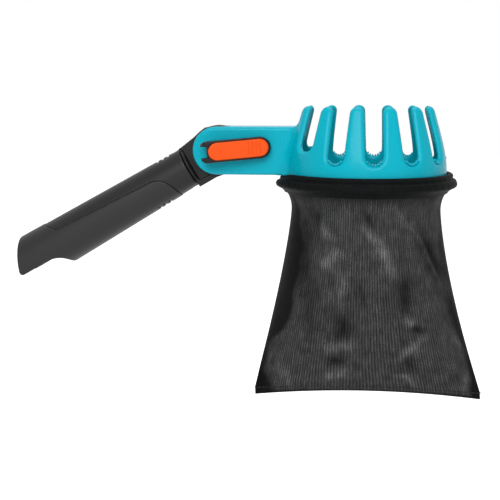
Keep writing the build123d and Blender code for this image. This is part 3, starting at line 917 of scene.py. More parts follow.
@dataclass
class JointHead:
    """The dark joint head: a tongue on the tilt axis, its neck and foot, and the shank in the sleeve.

    Attributes are millimetres, as on the drawing.
    """

    layout: Layout
    tongue_radius: float = 17.9
    half_thickness: float = 9.8
    slit: float = 0.5
    shoulder: float = 1.9
    shoulder_radius: float = 14.7
    foot_drop: float = 16.6
    foot_height: float = 4.0
    neck_recess: float = 2.6
    cheek_radius: float = 16.2
    shank_radius: float = 9.0
    shank_start: float = 92.7
    shank_overlap: float = 1.0
    bolt_hole: float = 3.08
    pin_setback: float = 4.5
    pin_radius: float = 2.03
    neck_fillet: float = 2.0
    body_edge: float = 0.8
    recess_corner: float = 1.2
    recess_tip: float = 0.5
    recess_edge: float = 0.5
    collar_edge: float = 0.9
    collar_fillet: float = 0.8
    shank_edge: float = 0.5
    hole_edge: float = 0.3
    pin_edge: float = 0.2
    margin: float = 1.0
    grid: float = 0.5

    def field(self, x: Array, y: Array, z: Array) -> Array:
        """Distance to the joint head, in the sleeve's frame."""
        pivot = Vector(self.layout.head.origin).length
        start = self.layout.front + self.slit
        reach = math.hypot(self.shoulder_radius, pivot - start)
        slant = math.atan2(self.shoulder_radius, pivot - start)
        touch = math.pi - slant - math.acos(self.tongue_radius / reach)
        bolt = np.hypot(x - pivot, z)
        roof = (x - pivot) * math.cos(touch) + z * math.sin(touch) - self.tongue_radius
        neck = np.maximum(np.maximum(start - x, x - pivot), np.maximum(-self.foot_drop - z, roof))
        outline = join(neck, bolt - self.tongue_radius, self.neck_fillet)
        body = keep(outline, np.abs(y) - self.half_thickness, self.body_edge)
        recess = keep(start + self.shoulder - x, self.foot_height - self.foot_drop - z, self.recess_corner)
        recess = keep(recess, self.cheek_radius - bolt, self.recess_tip)
        recess = np.maximum(recess, self.half_thickness - self.neck_recess - np.abs(y))
        body = cut(body, recess, self.recess_edge)
        radius = np.hypot(y, z)
        collar = keep(radius - self.shoulder_radius, band(x, start, start + self.shoulder), self.collar_edge)
        body = join(body, collar, self.collar_fillet)
        along = band(x, self.shank_start, start + self.shank_overlap)
        body = join(body, keep(radius - self.shank_radius, along, self.shank_edge), 0.0)
        pin = np.hypot(x - (self.layout.front - self.pin_setback), y) - self.pin_radius
        return cut(cut(body, bolt - self.bolt_hole, self.hole_edge), pin, self.pin_edge)

    def build(self) -> None:
        """The joint head, on the handle."""
        pad = self.margin
        pivot = Vector(self.layout.head.origin).length
        wide, high = self.shoulder_radius + pad, self.tongue_radius + pad
        mould = Mould((self.shank_start - pad, -wide, -high), (pivot + high, wide, high), self.grid)
        head = moulded("tilt_joint", self.field, mould, self.layout.sleeve)
        dress(head, JOINT_GREY.build(), "handle", "joint_plastic", "joint_head")


# ---- the cam clamp ---------------------------------------------------------------------------------


@dataclass
class CamLever:
    """The dark cam lever with its orange cap, on the lever's own body.

    Heights are outwards from the head's middle plane. Attributes are millimetres, as on the drawing.
    """

    layout: Layout
    half_width: float = 7.6
    reach: float = 40.1
    cheek: float = 14.5
    lift: float = 2.5
    end_thickness: float = 4.6
    root_height: float = 6.2
    cam_radius: float = 9.3
    cam_throw: float = 0.55
    cam_flat: float = 5.1
    cam_length: float = 14.9
    fork_half_gap: float = 4.0
    fork_depth: float = 6.0
    pin_hole: float = 2.04
    cap_start: float = -2.9
    cap_margin: float = 1.25
    cap_thickness: float = 2.0
    cap_proud: float = 0.35
    cap_gap: float = 0.12
    rib_count: int = 4
    rib_pitch: float = 2.6
    rib_radius: float = 0.62
    rib_rise: float = 0.15
    rib_share: float = 0.72
    rib_offset: float = 1.0
    rib_edge: float = 0.25
    leg_chamfer: float = 1.8
    leg_taper: float = 0.45
    leg_lean: float = 0.8
    cam_fillet: float = 2.0
    back_edge: float = 0.9
    plan_edge: float = 1.0
    fork_edge: float = 0.5
    bed_edge: float = 0.15
    pin_edge: float = 0.2
    cap_rim: float = 0.2
    cap_edge: float = 1.0
    cap_fall: float = 0.8
    margin: float = 1.0
    grid: float = 0.34

    @property
    def pin(self) -> float:
        """Height of the lever's pin."""
        return -self.layout.lever_pin

    def back(self, x: Array) -> Array:
        """Height of the lever's back at x."""
        root, end = self.pin + self.root_height, self.cheek + self.lift + self.end_thickness
        return root + (end - root) * x / self.reach

    def plan(self, x: Array, z: Array) -> Array:
        """Distance to the lever seen square on, with its legs' chamfered ends."""
        centre = self.reach - self.half_width
        outline = np.where(x < centre, np.abs(z), np.hypot(x - centre, z)) - self.half_width
        chamfer = np.maximum(self.leg_chamfer - (x + self.cam_radius) * self.leg_taper, 0)
        return np.maximum(outline, self.leg_lean * (np.abs(z) - self.half_width + chamfer))

    def cap_plan(self, x: Array, z: Array) -> Array:
        """Distance to the cap seen square on: a pill with two round ends."""
        radius = self.half_width - self.cap_margin
        low, high = self.cap_start + radius, self.reach - self.half_width
        return np.hypot(x - np.clip(x, low, high), z) - radius

    def lever_field(self, x: Array, y: Array, z: Array) -> Array:
        """Distance to the lever, in the lever's frame."""
        out = -y
        slope = (self.pin - self.cam_flat - self.cheek - self.lift) / self.cam_length
        under = np.maximum(self.cheek + self.lift, self.pin - self.cam_flat - slope * x) - out
        handle = keep(under / math.hypot(1, slope), -x, 0.0)
        cam = np.hypot(x, out - self.pin + self.cam_throw) - self.cam_radius
        body = join(handle, cam, self.cam_fillet)
        body = keep(body, out - self.back(x), self.back_edge)
        body = keep(body, self.plan(x, z), self.plan_edge)
        fork = np.maximum(np.abs(z) - self.fork_half_gap, x - self.fork_depth)
        body = cut(body, fork, self.fork_edge)
        floor = self.back(x) - self.cap_thickness - self.cap_gap
        body = cut(body, np.maximum(self.cap_plan(x, z) - self.cap_gap, floor - out), self.bed_edge)
        return cut(body, np.hypot(x, out - self.pin) - self.pin_hole, self.pin_edge)

    def cap_field(self, x: Array, y: Array, z: Array) -> Array:
        """Distance to the cap, slightly crowned, with ribs across its free end."""
        out = -y
        crown = self.cap_proud * (1 - (z / self.half_width) ** 2 * self.cap_fall)
        top = out - self.back(x) - crown
        slab = keep(top, self.back(x) - self.cap_thickness - out, self.cap_rim)
        cap = keep(slab, self.cap_plan(x, z), self.cap_edge)
        last = self.reach - self.half_width + self.rib_offset
        index = np.clip(np.round((last - x) / self.rib_pitch), 0, self.rib_count - 1)
        rib = np.hypot(x - last + index * self.rib_pitch, top - self.rib_rise) - self.rib_radius
        reach = np.abs(z) - (self.half_width - self.cap_margin) * self.rib_share
        return cut(cap, np.maximum(rib, reach), self.rib_edge)

    def build(self) -> None:
        """The lever and its cap."""
        pad = self.margin
        top = self.pin + self.root_height + self.cam_throw + 2 * pad
        mould = Mould(
            (-self.cam_radius - pad, -top, -self.half_width - pad),
            (self.reach + pad, -self.cheek, self.half_width + pad), self.grid)
        lever = moulded("cam_lever", self.lever_field, mould, self.layout.lever)
        dress(lever, LEVER_GREY.build(), "lever", "lever_plastic", "clamp_lever")
        cap = moulded("lever_cap", self.cap_field, mould, self.layout.lever)
        dress(cap, ORANGE.build(), "lever", "cover_plastic", "lever_cover")


@dataclass(frozen=True)
class ZincSteel:
    """Zinc-plated steel: a pale, slightly blue metal with faint turning marks.

    Attributes:
        name: the material's name.
        colour: its reflected colour.
        mark_mm: spacing of the turning marks.
        roughness: lowest and highest roughness.
    """

    name: str = "zinc_plated_steel"
    colour: str = "#909295"
    mark_mm: float = 0.3
    roughness: Pair = (0.28, 0.45)

    def build(self) -> Material:
        """The finish as a material."""
        material, tree, shader = new_material(self.name)
        marks = noise(tree, add_node(tree, "ShaderNodeTexCoord").outputs["Object"], self.mark_mm)
        tree.links.new(spread(tree, marks, self.roughness), shader.inputs["Roughness"])
        shader.inputs["Base Color"].default_value = linear(self.colour)
        shader.inputs["Metallic"].default_value = 1.0
        return material


PLATED = ZincSteel()
BLACKED = ZincSteel("black_oxide_steel", "#2C2C2E", 0.4)


@dataclass
class Hardware:
    """The metal parts that stay as they are in the frame: bolt, pins, washer and nut."""

    plated: tuple[str, ...] = ("cam_washer", "lock_nut", "shank_pin")
    blacked: tuple[str, ...] = ("clamp_bolt", "lever_pin")

    def build(self, frame: dict) -> None:
        """Plates or blacks the CAD nodes.
        """
        for finish, names in ((PLATED, self.plated), (BLACKED, self.blacked)):
            material = finish.build()
            for name in names:
                node = frame["nodes"][name]
                node.data.materials.clear()
                node.data.materials.append(material)


# ---- the catch bag ---------------------------------------------------------------------------------


@dataclass(frozen=True)
class Knit:
    """A warp-knitted polyester: fine wales that run down the bag, with darker gaps between them.

    Attributes:
        name: the material's name.
        thread: colour of the wales.
        gap: colour between them.
        wale_mm: spacing of the wales, drawn coarse enough to show.
        course_mm: spacing of the courses across them.
        depth: strength of the relief.
        paints_fold_light: whether the folds get painted light: a painted highlight on their crests and
        painted shade in their hollows.
        specular: strength of its plain reflection.
        roughness: its roughness.
        painted_shade_colour: colour of the painted shade at the bag's sides and under its hem, and of
        its darker bottom seam.
        sway_mm: how far the wales stray sideways.
        sway_size_mm: length over which they stray.
        courses: strength of the courses beside the wales.
        cover: how much thread shows in the gaps.
        streak: width and length of a streak of yarn, in wales.
        fuzz_mm: size of the yarn's unevenness.
        patch_mm: size of paler and darker patches.
        patches: strength of the thread in the darkest and the palest patch.
        patch_range: the noise's own range.
        marked: the range of the fold marks that set the painted light.
        fold_light_tones: brightness of the painted shade in the deepest fold, and of the painted highlight
            on the highest one.
        relief_mm: depth of the relief.
    """

    name: str
    thread: str
    gap: str
    wale_mm: float = 2.2
    course_mm: float = 1.1
    depth: float = 0.5
    paints_fold_light: bool = False
    specular: float = 0.08
    roughness: float = 0.6
    painted_shade_colour: str = "#0C0C0C"
    sway_mm: float = 1.6
    sway_size_mm: float = 18.0
    courses: float = 0.3
    cover: float = 0.35
    streak: Pair = (0.8, 7.0)
    fuzz_mm: float = 0.9
    patch_mm: float = 9.0
    patches: Pair = (0.75, 1.3)
    patch_range: Pair = (0.3, 0.7)
    marked: Pair = (0.08, 1.0)
    fold_light_tones: Pair = (0.3, 3.3)
    relief_mm: float = 0.25

    def build(self) -> Material:
        """The finish as a material, on the piece's own UV map in metres."""
        material, tree, shader = new_material(self.name)
        uv = add_node(tree, "ShaderNodeUVMap", uv_map="cloth").outputs[0]
        loops = self.loops(tree, uv)
        thread = maths(tree, "MULTIPLY", maths(tree, "ADD", loops, self.cover), self.yarn(tree, uv))
        patch = spread(tree, noise(tree, uv, self.patch_mm, 3.0), self.patches, self.patch_range)
        tint = blend(tree, maths(tree, "MULTIPLY", thread, patch), self.gap, self.thread)
        # Painted light on the folds: paler on the crests as a painted highlight, darker in hollows as painted
        # shade.
        if self.paints_fold_light:
            painted_fold_light = spread(tree, self.marks(tree, "lift"), self.fold_light_tones, self.marked)
            tint = add_node(tree, "ShaderNodeHueSaturation", {"Color": tint, "Value": painted_fold_light}).outputs[0]
        # Painted shade: darker where the mesh marks the bag's turned-away sides, the hem's underside and the
        # seam.
        tint = blend(tree, self.marks(tree, "painted_shade"), tint, self.painted_shade_colour)
        tree.links.new(tint, shader.inputs["Base Color"])
        raised(tree, shader, loops, self.depth, self.relief_mm)
        shader.inputs["Roughness"].default_value = self.roughness
        shader.inputs["Specular IOR Level"].default_value = self.specular
        return material

    def loops(self, tree: Tree, uv: Socket) -> Socket:
        """Height of the wales with their courses."""
        place = add_node(tree, "ShaderNodeSeparateXYZ", {0: uv}).outputs
        sway = maths(tree, "MULTIPLY", noise(tree, uv, self.sway_size_mm), self.sway_mm * MM)
        wale = self.wave(tree, maths(tree, "ADD", place["X"], sway), self.wale_mm)
        course = self.wave(tree, place["Y"], self.course_mm)
        return maths(tree, "ADD", wale, maths(tree, "MULTIPLY", course, self.courses))

    def yarn(self, tree: Tree, uv: Socket) -> Socket:
        """Unevenness of the yarn: streaks along the wales, and fuzz."""
        across, along = (1 / (self.wale_mm * wales * MM) for wales in self.streak)
        drawn = add_node(tree, "ShaderNodeVectorMath", {0: uv, 1: (across, along, 1.0)}, operation="MULTIPLY")
        streak = noise(tree, drawn.outputs[0], 1 / MM)
        return maths(tree, "MULTIPLY", streak, noise(tree, uv, self.fuzz_mm))

    @staticmethod
    def marks(tree: Tree, name: str) -> Socket:
        """What the piece's mesh marks under this name."""
        return add_node(tree, "ShaderNodeAttribute", attribute_name=name).outputs["Fac"]

    @staticmethod
    def wave(tree: Tree, place: Socket, spacing_mm: float) -> Socket:
        """A smooth wave from 0 to 1 with one crest to each spacing."""
        turn = maths(tree, "MULTIPLY", place, 2 * math.pi / (spacing_mm * MM))
        return maths(tree, "MULTIPLY_ADD", maths(tree, "SINE", turn), 0.5, 0.5)


# The bag's knit gets painted highlights and shade on its folds, and painted shade at its sides and hem.
BAG_KNIT = Knit("bag_warp_knit", "#5E5E5E", "#0C0C0C", 1.6, 0.8, paints_fold_light=True, specular=0.03)
HEM_KNIT = Knit("hem_binding", "#1A1C1D", "#050606", 1.6, 0.8, 0.35, specular=0.05)


def cloth_uv(mesh: bpy.types.Mesh, shares: tuple[Array, Array], lengths_mm: Pair) -> None:
    """Lays the knit's own UV map in metres over a closed piece of cloth made of quads.

    Args:
        mesh: the cloth.
        shares: each point's place along the map's two directions, from 0 to 1.
        lengths_mm: the cloth's length along each of them.
    """
    loops = np.empty(len(mesh.loops), np.int64)
    mesh.loops.foreach_get("vertex_index", loops)
    place = np.stack(shares, 1)[loops].reshape(-1, 4, 2)
    place = np.where(place < place[:, :1] - 0.5, place + 1, place)
    layer = mesh.uv_layers.new(name="cloth")
    layer.data.foreach_set("uv", (place * np.array(lengths_mm) * MM).ravel())


@dataclass(frozen=True)
class Fold:
    """One soft fold or dent in the bag's front or back.

    Attributes:
        start: its upper end: across the bag from its middle, and down from the hem, in millimetres.
        end: its lower end.
        width: half its width.
        height: how far it stands out, or in where negative; it also sets its painted highlight, or painted
        shade where negative.
    """

    start: Pair
    end: Pair
    width: float
    height: float

    def lift(self, across: Array, down: Array) -> Array:
        """How far the fold moves each point of the cloth outwards."""
        ax, ay = self.start
        bx, by = self.end
        length = math.hypot(bx - ax, by - ay)
        along = ((across - (ax + bx) / 2) * (bx - ax) + (down - (ay + by) / 2) * (by - ay)) / length
        off = ((across - ax) * (by - ay) - (down - ay) * (bx - ax)) / length
        reach = length / 2 + self.width
        return self.height * np.exp(-(off / self.width) ** 2 - np.abs(along / reach) ** 3)


@dataclass
class CatchBag:
    """The mesh bag: a tube of cloth that hangs from the ring and is sewn flat along its bottom.

    Attributes are millimetres, as on the drawing, apart from counts, shares and curves. A ruffle is its
    height, its waves, twist and start round the bag, and how far down it fades. A waver of the side band
    is its share, its length and its start. The side band and the head band are painted shade, darker where
    the bag's sides turn from the light and under the hem; the foot band is darker along the bottom seam.
    The shades say how dark these bands are. The folds' lift also sets their painted highlights and shade.
    """

    layout: Layout
    girth: float = 53.7
    bottom_half_width: float = 83.3
    bottom_half_depth: float = 0.66
    top: float = -28.0
    neck: float = -42.0
    bottom: float = -181.0
    flare: float = 4.4
    flare_curve: float = 2.2
    fullness: float = 1.35
    drift: float = 3.1
    corner_height: float = 0.035
    thickness: float = 0.6
    panel_width: float = 168.0
    panel_length: float = 158.0
    relief: float = 0.6
    settle_top: float = 12.0
    settle_depth: Pair = (1.0, 9.0)
    settle_side: float = 2.2
    ruffles: tuple[tuple[float, ...], ...] = ((0.5, 9, 5, 0.0, 22), (0.25, 23, 0, 1.3, 9))
    side_band: tuple[Pair, ...] = (
        (0, 0.84), (40, 0.78), (70, 0.75), (95, 0.78), (112, 0.9), (158, 0.93))
    side_band_right: float = 0.91
    side_band_edge: float = 0.05
    side_waver: tuple[tuple[float, ...], ...] = ((0.02, 9, 0), (0.01, 3.7, 1))
    side_shade: float = 0.92
    foot_band: float = 2.6
    foot_band_edge: float = 0.8
    foot_shade: float = 0.85
    head_band: float = 8.0
    head_shade: float = 0.7
    lift_range: float = 7.0
    lift_rest: float = 0.45
    foot_start: float = 0.8
    foot_stitch: float = 0.35
    head_stitch: float = 0.45
    stitch_rows: tuple[int, int] = (-5, 1)
    stitch_pitch: float = 3.0
    stitch_length: float = 2.1
    stitch_radius: float = 0.28
    foot_rise: float = 2.7
    foot_tilt: float = 0.75
    foot_sag: float = 4.6
    around: int = 320
    down: int = 132
    front_folds: tuple[Fold, ...] = (
        Fold((-29, 21), (-26, 27), 3.2, 3.2), Fold((-27, 48), (-19, 41), 4.4, 4.4),
        Fold((2, 24), (11, 34), 3.2, 4.2), Fold((11, 34), (19, 53), 3.6, 4.6),
        Fold((-15, 58), (-16, 81), 3.2, 2.6), Fold((-22, 112), (-10, 109), 3.8, 4.6),
        Fold((-25, 138), (-12, 132), 4.0, 4.2), Fold((31, 89), (33, 91), 3.6, 4.0),
        Fold((40, 105), (28, 118), 3.0, 4.8), Fold((18, 4), (40, 34), 1.5, 2.0),
        Fold((40, 34), (53, 62), 1.5, 2.3), Fold((25, 135), (32, 135), 1.8, 2.8),
        Fold((32, 135), (38, 145), 1.8, 3.0), Fold((65, 99), (69, 112), 1.8, 2.4),
        Fold((75, 137), (74, 148), 1.8, 2.6), Fold((-57, 131), (-54, 147), 2.0, 2.8),
        Fold((-62, 128), (-60, 142), 1.6, 2.0), Fold((-33, 14), (-31, 22), 3.8, -2.0),
        Fold((-15, 86), (-15, 103), 6.6, -2.3), Fold((-22, 123), (-16, 123), 4.6, -2.1),
        Fold((28, 61), (29, 79), 6.2, -2.3), Fold((36, 95), (40, 97), 3.2, -2.4),
        Fold((31, 119), (34, 127), 4.6, -2.2), Fold((41, 32), (53, 58), 5.0, -3.2),
        Fold((-76, 138), (-70, 152), 5.0, -3.0), Fold((0, 10), (5, 20), 3.2, -1.9),
        Fold((-42, 18), (-44, 66), 7.0, -2.2), Fold((58, 70), (66, 96), 4.0, -1.8),
        Fold((-4, 60), (0, 74), 3.0, -1.4), Fold((-36, 70), (-38, 98), 6.0, -1.2))
    back_folds: tuple[Fold, ...] = (
        Fold((-30, 16), (10, 80), 6.0, 3.0), Fold((34, 30), (12, 90), 6.5, -2.8),
        Fold((-44, 60), (-30, 110), 6.0, 3.0), Fold((20, 110), (40, 130), 6.0, 3.2),
        Fold((-10, 120), (-26, 138), 5.0, 3.0), Fold((52, 90), (60, 130), 5.0, -2.6))

    def section(self, share: Array) -> tuple[Array, Array, Array, Array]:
        """Height, half width, half depth and sideways drift of the bag at a share of its height."""
        z = self.top + share * (self.bottom - self.top)
        below = np.clip((self.neck - z) / (self.neck - self.bottom), 0, 1)
        collar = self.flare * np.clip((z - self.neck) / (self.top - self.neck), 0, 1) ** self.flare_curve
        spread = np.minimum(below / (1 - self.corner_height), 1)
        half_width = self.girth + (self.bottom_half_width - self.girth) * spread ** self.fullness + collar
        half_depth = self.girth + (self.bottom_half_depth - self.girth) * below ** 2 + collar
        return z, half_width, half_depth, self.drift * below ** 2

    def cloth(self) -> tuple[Array, Array]:
        """The cloth's points about the ring's axis, and how far its folds lift each one."""
        share = np.linspace(0, 1, self.down + 1)[:, None]
        turn = ((np.arange(self.around) + 0.5) * 2 * math.pi / self.around)[None, :]
        z, wide, deep, drift = self.section(share)
        x, y = wide * np.cos(turn) + drift, deep * np.sin(turn)
        normal = np.stack([np.cos(turn) / wide, np.sin(turn) / deep], -1)
        normal /= np.linalg.norm(normal, axis=-1, keepdims=True)
        down = share * (self.top - self.bottom) + 0 * x
        front = sum(fold.lift(x, down) for fold in self.front_folds)
        back = sum(fold.lift(x, down) for fold in self.back_folds)
        lift = np.where(y < 0, front, back)
        below_hem = np.clip(down / self.settle_top, 0, 1)
        least, more = self.settle_depth
        sideways = np.clip(np.abs(np.sin(turn)) * self.settle_side, 0, 1)
        room = below_hem * np.clip((deep - least) / more, 0, 1) * sideways
        ruffle = sum(
            height * np.sin(turn * waves + share * twist + start) * np.exp(-down / fade)
            for height, waves, twist, start, fade in self.ruffles)
        out = lift * room * self.relief + ruffle
        x, y = x + normal[..., 0] * out, y + normal[..., 1] * out
        across = np.cos(turn)
        low = np.clip((share - self.foot_start) / (1 - self.foot_start), 0, 1) ** 2
        z = z + low * (self.foot_rise + self.foot_tilt * across - self.foot_sag * across ** 2)
        return np.stack([x, y, z], -1), lift * below_hem

    def build(self) -> None:
        """The bag's cloth and its stitches, on the head, in place of its CAD panels and seams."""
        points, lift = self.cloth()
        rows, columns = points.shape[:2]
        index = np.arange(rows * columns).reshape(rows, columns)
        after = np.roll(index, -1, axis=1)
        sides = np.stack([index[:-1], index[1:], after[1:], after[:-1]], -1).reshape(-1, 4)
        foot, half = index[-1], columns // 2
        closed = np.stack([foot[:half - 1], foot[:half:-1], foot[half:-1][::-1], foot[1:half]], -1)
        faces = np.concatenate([sides, closed])
        placed = Placed(self.layout.ring.origin)
        piece = mesh_object("mesh_bag", placed.to_row(points.reshape(-1, 3)), faces)
        self.measure(piece, rows, columns, lift)
        shell = piece.modifiers.new("cloth_thickness", "SOLIDIFY")
        shell.thickness = self.thickness * MM
        shell.offset = -1.0
        dress(piece, BAG_KNIT.build(), "head", "bag_mesh",
              "bag_front_panel", "bag_back_panel", "bag_side_seams", "bag_bottom_seam")
        self.stitches(*(placed.to_row(points[row]) for row in self.stitch_rows))

    def measure(self, piece: Piece, rows: int, columns: int, lift: Array) -> None:
        """Gives the cloth its UV map in metres, and marks its painted shade and the painted light of its
        folds.

        Args:
            piece: the cloth.
            rows: points down it.
            columns: points around it.
            lift: how far its folds lift each point, in millimetres.
        """
        mesh, index = piece.data, np.arange(rows * columns)
        around, along = index % columns / columns, index // columns / (rows - 1)
        cloth_uv(mesh, (around, 1 - along), (2 * self.panel_width, self.panel_length))
        turn, down = around * 2 * math.pi, along * self.panel_length
        # Painted shade on the sides turned from the light and under the hem; darker along the bottom seam.
        low = np.where(np.cos(turn) < 0, np.interp(down, *zip(*self.side_band)), self.side_band_right)
        shift = sum(share * np.sin(down / length + start) for share, length, start in self.side_waver)
        sides = np.clip((np.abs(np.cos(turn)) - low - shift) / self.side_band_edge, 0, 1) * self.side_shade
        foot = (down - self.panel_length + self.foot_band) / self.foot_band_edge
        foot = np.clip(foot, 0, 1) * self.foot_shade
        head = np.clip(1 - down / self.head_band, 0, 1) * self.head_shade
        painted_shade = np.maximum.reduce([sides, foot, head])
        # The folds' lift is written here to set their painted highlights and painted shade.
        for name, values in (("painted_shade", painted_shade), ("lift", lift.ravel() / self.lift_range + self.lift_rest)):
            mesh.attributes.new(name, "FLOAT", "POINT").data.foreach_set("value", values.astype(np.float32))

    def stitches(self, foot: Array, head: Array) -> None:
        """The seam stitches: one row along the bottom and one under the hem."""
        rows = []
        for loop, out in ((foot, self.foot_stitch), (head, self.head_stitch)):
            along = np.roll(loop, -1, axis=0) - np.roll(loop, 1, axis=0)
            across = np.cross(along, (0.0, 0.0, 1.0))
            across /= np.maximum(np.linalg.norm(across, axis=1, keepdims=True), 1e-6)
            rows.append((loop + across * out, along, across))
        row = AlongPath("bag_stitches", self.stitch_pitch, self.stitch_length, self.stitch_radius, sides=6)
        dress(row.build(rows, THREAD.build(), closed=True), THREAD.build(), "head", "seam_cloth")


@dataclass
class BagHem:
    """The bag's hem: a roll of cloth round an elastic, and the skirt that is drawn over the lip.

    Attributes are millimetres, as on the drawing, apart from climb_angle in radians. The turns are first
    angle, end and step in degrees. Outlines are corners, outwards and upwards. A set of pleats is its
    share, its count, how far it strays and in how many waves. A drop is its share, its waves and its start.
    """

    layout: Layout
    ring_radius: float = 57.5
    roll_gap: float = 0.2
    roll_radius: float = 2.1
    roll_turn: tuple[int, int, int] = (200, -41, -15)
    roll_height: float = -19.6
    roll_climb: float = 2.3
    climb_angle: float = 0.42
    lip_radius: float = 64.9
    lip_height: float = -23.2
    lip_round: float = 2.0
    lip_turn: tuple[int, int, int] = (66, -67, -12)
    foot_radius: float = 58.4
    foot_height: float = -29.2
    foot_outline: tuple[Pair, ...] = (
        (2.2, 2.6), (0.6, 0.9), (0.2, 0.2), (-0.5, 0), (-0.9, 0.5), (-0.4, 1.4), (1.4, 3.2))
    lip_inside: tuple[Pair, ...] = ((-0.6, -1.9), (0.9, -0.6), (0.9, 0.9))
    roll_inside: tuple[Pair, ...] = ((3.6, -1.2), (1.0, -1.8))
    climb_from: float = -22.4
    climb_over: float = 1.6
    pleats: tuple[tuple[float, ...], ...] = ((1.0, 61, 2, 5), (0.7, 97, 3, 3))
    drops: tuple[tuple[float, ...], ...] = ((1.0, 3, 0.7), (0.7, 7, 2.1))
    gather: float = 0.07
    gather_from: float = 1.2
    gather_over: float = 2.0
    sag: float = 0.3
    sag_from: float = -22.0
    sag_over: float = 6.0
    section_length: float = 44.0
    around: int = 480

    def section(self) -> Array:
        """Radius and height of the hem's outline, from inside the roll, over the lip, and back inside."""
        middle = self.ring_radius + self.roll_gap + self.roll_radius
        inner = self.lip_radius - self.lip_round
        turns = (
            (middle, self.roll_height, self.roll_radius, range(*self.roll_turn)),
            (inner, self.lip_height, self.lip_round, range(*self.lip_turn)))
        outline = [
            (x + radius * math.cos(math.radians(a)), y + radius * math.sin(math.radians(a)))
            for x, y, radius, angles in turns for a in angles]
        for x, y, corners in (
                (self.foot_radius, self.foot_height, self.foot_outline),
                (inner, self.lip_height, self.lip_inside),
                (self.ring_radius, self.roll_height, self.roll_inside)):
            outline += [(x + out, y + up) for out, up in corners]
        return np.array(outline)

    def build(self) -> None:
        """The hem, on the head, in place of its CAD solid and the elastic inside it."""
        section = self.section()
        turn = np.linspace(0, 2 * math.pi, self.around, endpoint=False)[:, None]
        radius, height = section[None, :, 0] + 0 * turn, section[None, :, 1] + 0 * turn
        free = 1 - np.exp(-((turn - math.pi) / self.climb_angle) ** 4)
        height = height + self.roll_climb * free * np.clip((height - self.climb_from) / self.climb_over, 0, 1)
        pleats = sum(
            share * np.sin(turn * count + stray * np.sin(turn * waves))
            for share, count, stray, waves in self.pleats)
        outside = np.clip((radius - self.ring_radius - self.gather_from) / self.gather_over, 0, 1)
        radius = radius + self.gather * pleats * outside
        drop = sum(share * np.sin(turn * waves + start) for share, waves, start in self.drops)
        height = height + self.sag * drop * np.clip((self.sag_from - height) / self.sag_over, 0, 1)
        points = np.stack([radius * np.cos(turn), radius * np.sin(turn), height], -1)
        rows, columns = points.shape[:2]
        index = np.arange(rows * columns).reshape(rows, columns)
        ahead, beside = np.roll(index, -1, axis=0), np.roll(index, -1, axis=1)
        faces = np.stack([index, ahead, np.roll(ahead, -1, axis=1), beside], -1).reshape(-1, 4)
        placed = Placed(self.layout.ring.origin)
        piece = mesh_object("bag_hem_roll", placed.to_row(points.reshape(-1, 3)), faces)
        shares = index.ravel() // columns / rows, index.ravel() % columns / columns
        cloth_uv(piece.data, shares, (2 * math.pi * self.lip_radius, self.section_length))
        dress(piece, HEM_KNIT.build(), "head", "hem_cloth", "bag_hem", "hem_elastic")


# ---- the stage ---------------------------------------------------------------------------------------


@dataclass(frozen=True)
class Lamp:
    """A square soft box.

    Attributes:
        name: the lamp's name.
        place: where it stands, in metres.
        size: its side, in metres.
        watts: its power.
    """

    name: str
    place: Triple
    size: float
    watts: float

    def build(self, middle: Vector) -> None:
        """Sets up the lamp, facing this point in metres."""
        data = bpy.data.lights.new(self.name, "AREA")
        data.size = self.size
        data.energy = self.watts
        lamp = linked(self.name, data)
        lamp.location = self.place
        lamp.rotation_euler = (middle - lamp.location).to_track_quat("-Z", "Y").to_euler()


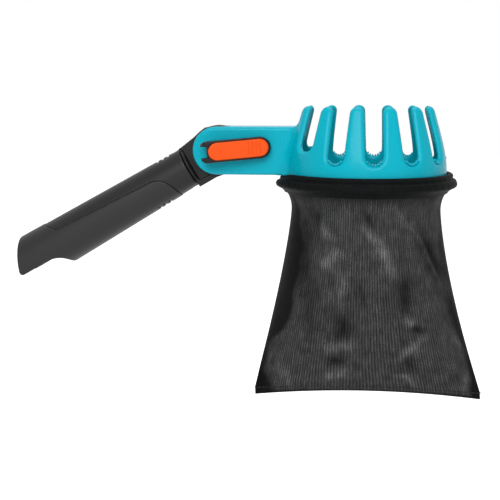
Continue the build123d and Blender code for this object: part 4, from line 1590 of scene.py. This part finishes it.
@dataclass(frozen=True)
class Studio:
    """Camera, lamps and floor.

    Attributes:
        eye: the camera's place in the row frame, in millimetres.
        target: the point at the middle of the view.
        view_degrees: the camera's angle of view.
        floor_gap: from the part's lowest point down to the floor, in millimetres, which leaves room
            for the bag at the head's full tilt.
        ambient: strength of the surround as light.
        floor_glow: what is added to the floor where it is seen, so that it shows white out of the shadow.
        floor_side: half the floor's side, in millimetres.
        nearest: where the camera's view starts, in millimetres.
        lamps: a key light, a weak fill and one from above.
    """

    eye: Triple = (231.2, -750.0, 113.7)
    target: Triple = (144.0, 0.0, -3.4)
    view_degrees: float = 27.2
    floor_gap: float = 78.0
    ambient: float = 0.26
    floor_glow: float = 0.82
    floor_side: float = 4000.0
    nearest: float = 10.0
    lamps: tuple[Lamp, ...] = (
        Lamp("key", (0.1, -1.9, 1.05), 1.3, 31.0), Lamp("fill", (1.4, -1.2, 0.3), 1.2, 1.5),
        Lamp("top", (0.2, 0.3, 1.9), 1.5, 14.0))

    def camera(self) -> None:
        """Sets the camera at the height of the fingers, looking slightly down."""
        data = bpy.data.cameras.new("camera")
        camera = linked("camera", data)
        camera.location = Vector(self.eye) * MM
        camera.rotation_euler = (Vector(self.target) - Vector(self.eye)).to_track_quat("-Z", "Y").to_euler()
        data.angle = math.radians(self.view_degrees)
        data.clip_start = self.nearest * MM
        bpy.context.scene.camera = camera

    def world(self) -> None:
        """An even white surround, seen white and lighting the part softly."""
        world = bpy.data.worlds.new("studio")
        bpy.context.scene.world = world
        world.use_nodes = True
        tree = world.node_tree
        background = tree.nodes["Background"]
        background.inputs["Color"].default_value = WHITE
        strength = spread(tree, self.seen(tree), (self.ambient, 1.0))
        tree.links.new(strength, background.inputs["Strength"])

    @staticmethod
    def seen(tree: Tree) -> Socket:
        """1 for rays from the camera and for what metal and gloss show, 0 for light on the part."""
        rays = add_node(tree, "ShaderNodeLightPath").outputs
        near = maths(tree, "MAXIMUM", rays["Is Camera Ray"], rays["Is Glossy Ray"])
        return maths(tree, "MAXIMUM", near, rays["Is Transmission Ray"])

    def floor(self, height: float) -> None:
        """A plain white floor that keeps the part's shadow, at this height in millimetres."""
        side = self.floor_side
        corners = [(-side, -side, height), (side, -side, height), (side, side, height), (-side, side, height)]
        floor = mesh_object("floor", np.array(corners), np.array([(0, 1, 2, 3)]), smooth=False)
        material, tree, shader = new_material("white_floor")
        shader.inputs["Base Color"].default_value = linear("#F2F2F2")
        shader.inputs["Roughness"].default_value = 0.9
        shader.inputs["Specular IOR Level"].default_value = 0.0
        shader.inputs["Emission Color"].default_value = WHITE
        glow = maths(tree, "MULTIPLY", self.seen(tree), self.floor_glow)
        tree.links.new(glow, shader.inputs["Emission Strength"])
        floor.data.materials.append(material)
        floor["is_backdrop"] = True

    def build(self, low: float) -> None:
        """Sets the whole studio.

        Args:
            low: height of the part's lowest point, in millimetres.
        """
        self.camera()
        self.world()
        for lamp in self.lamps:
            lamp.build(Vector(self.target) * MM)
        self.floor(low - self.floor_gap)
        bpy.context.scene.view_settings.view_transform = "Standard"


def main() -> None:
    """Builds the pieces in order."""
    logging.basicConfig(level=logging.INFO, format="%(message)s")
    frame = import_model()
    cad_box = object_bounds()
    layout = Layout.of(frame)
    moulding = PickerMoulding(layout)
    moulding.build()
    SlotTeeth(layout, moulding).build()
    PoleSleeve(layout).build()
    JointHead(layout).build()
    CamLever(layout).build()
    Hardware().build(frame)
    BagHem(layout).build()
    CatchBag(layout).build()
    Studio().build(cad_box[0].z / MM)


if __name__ == "__main__":
    main()
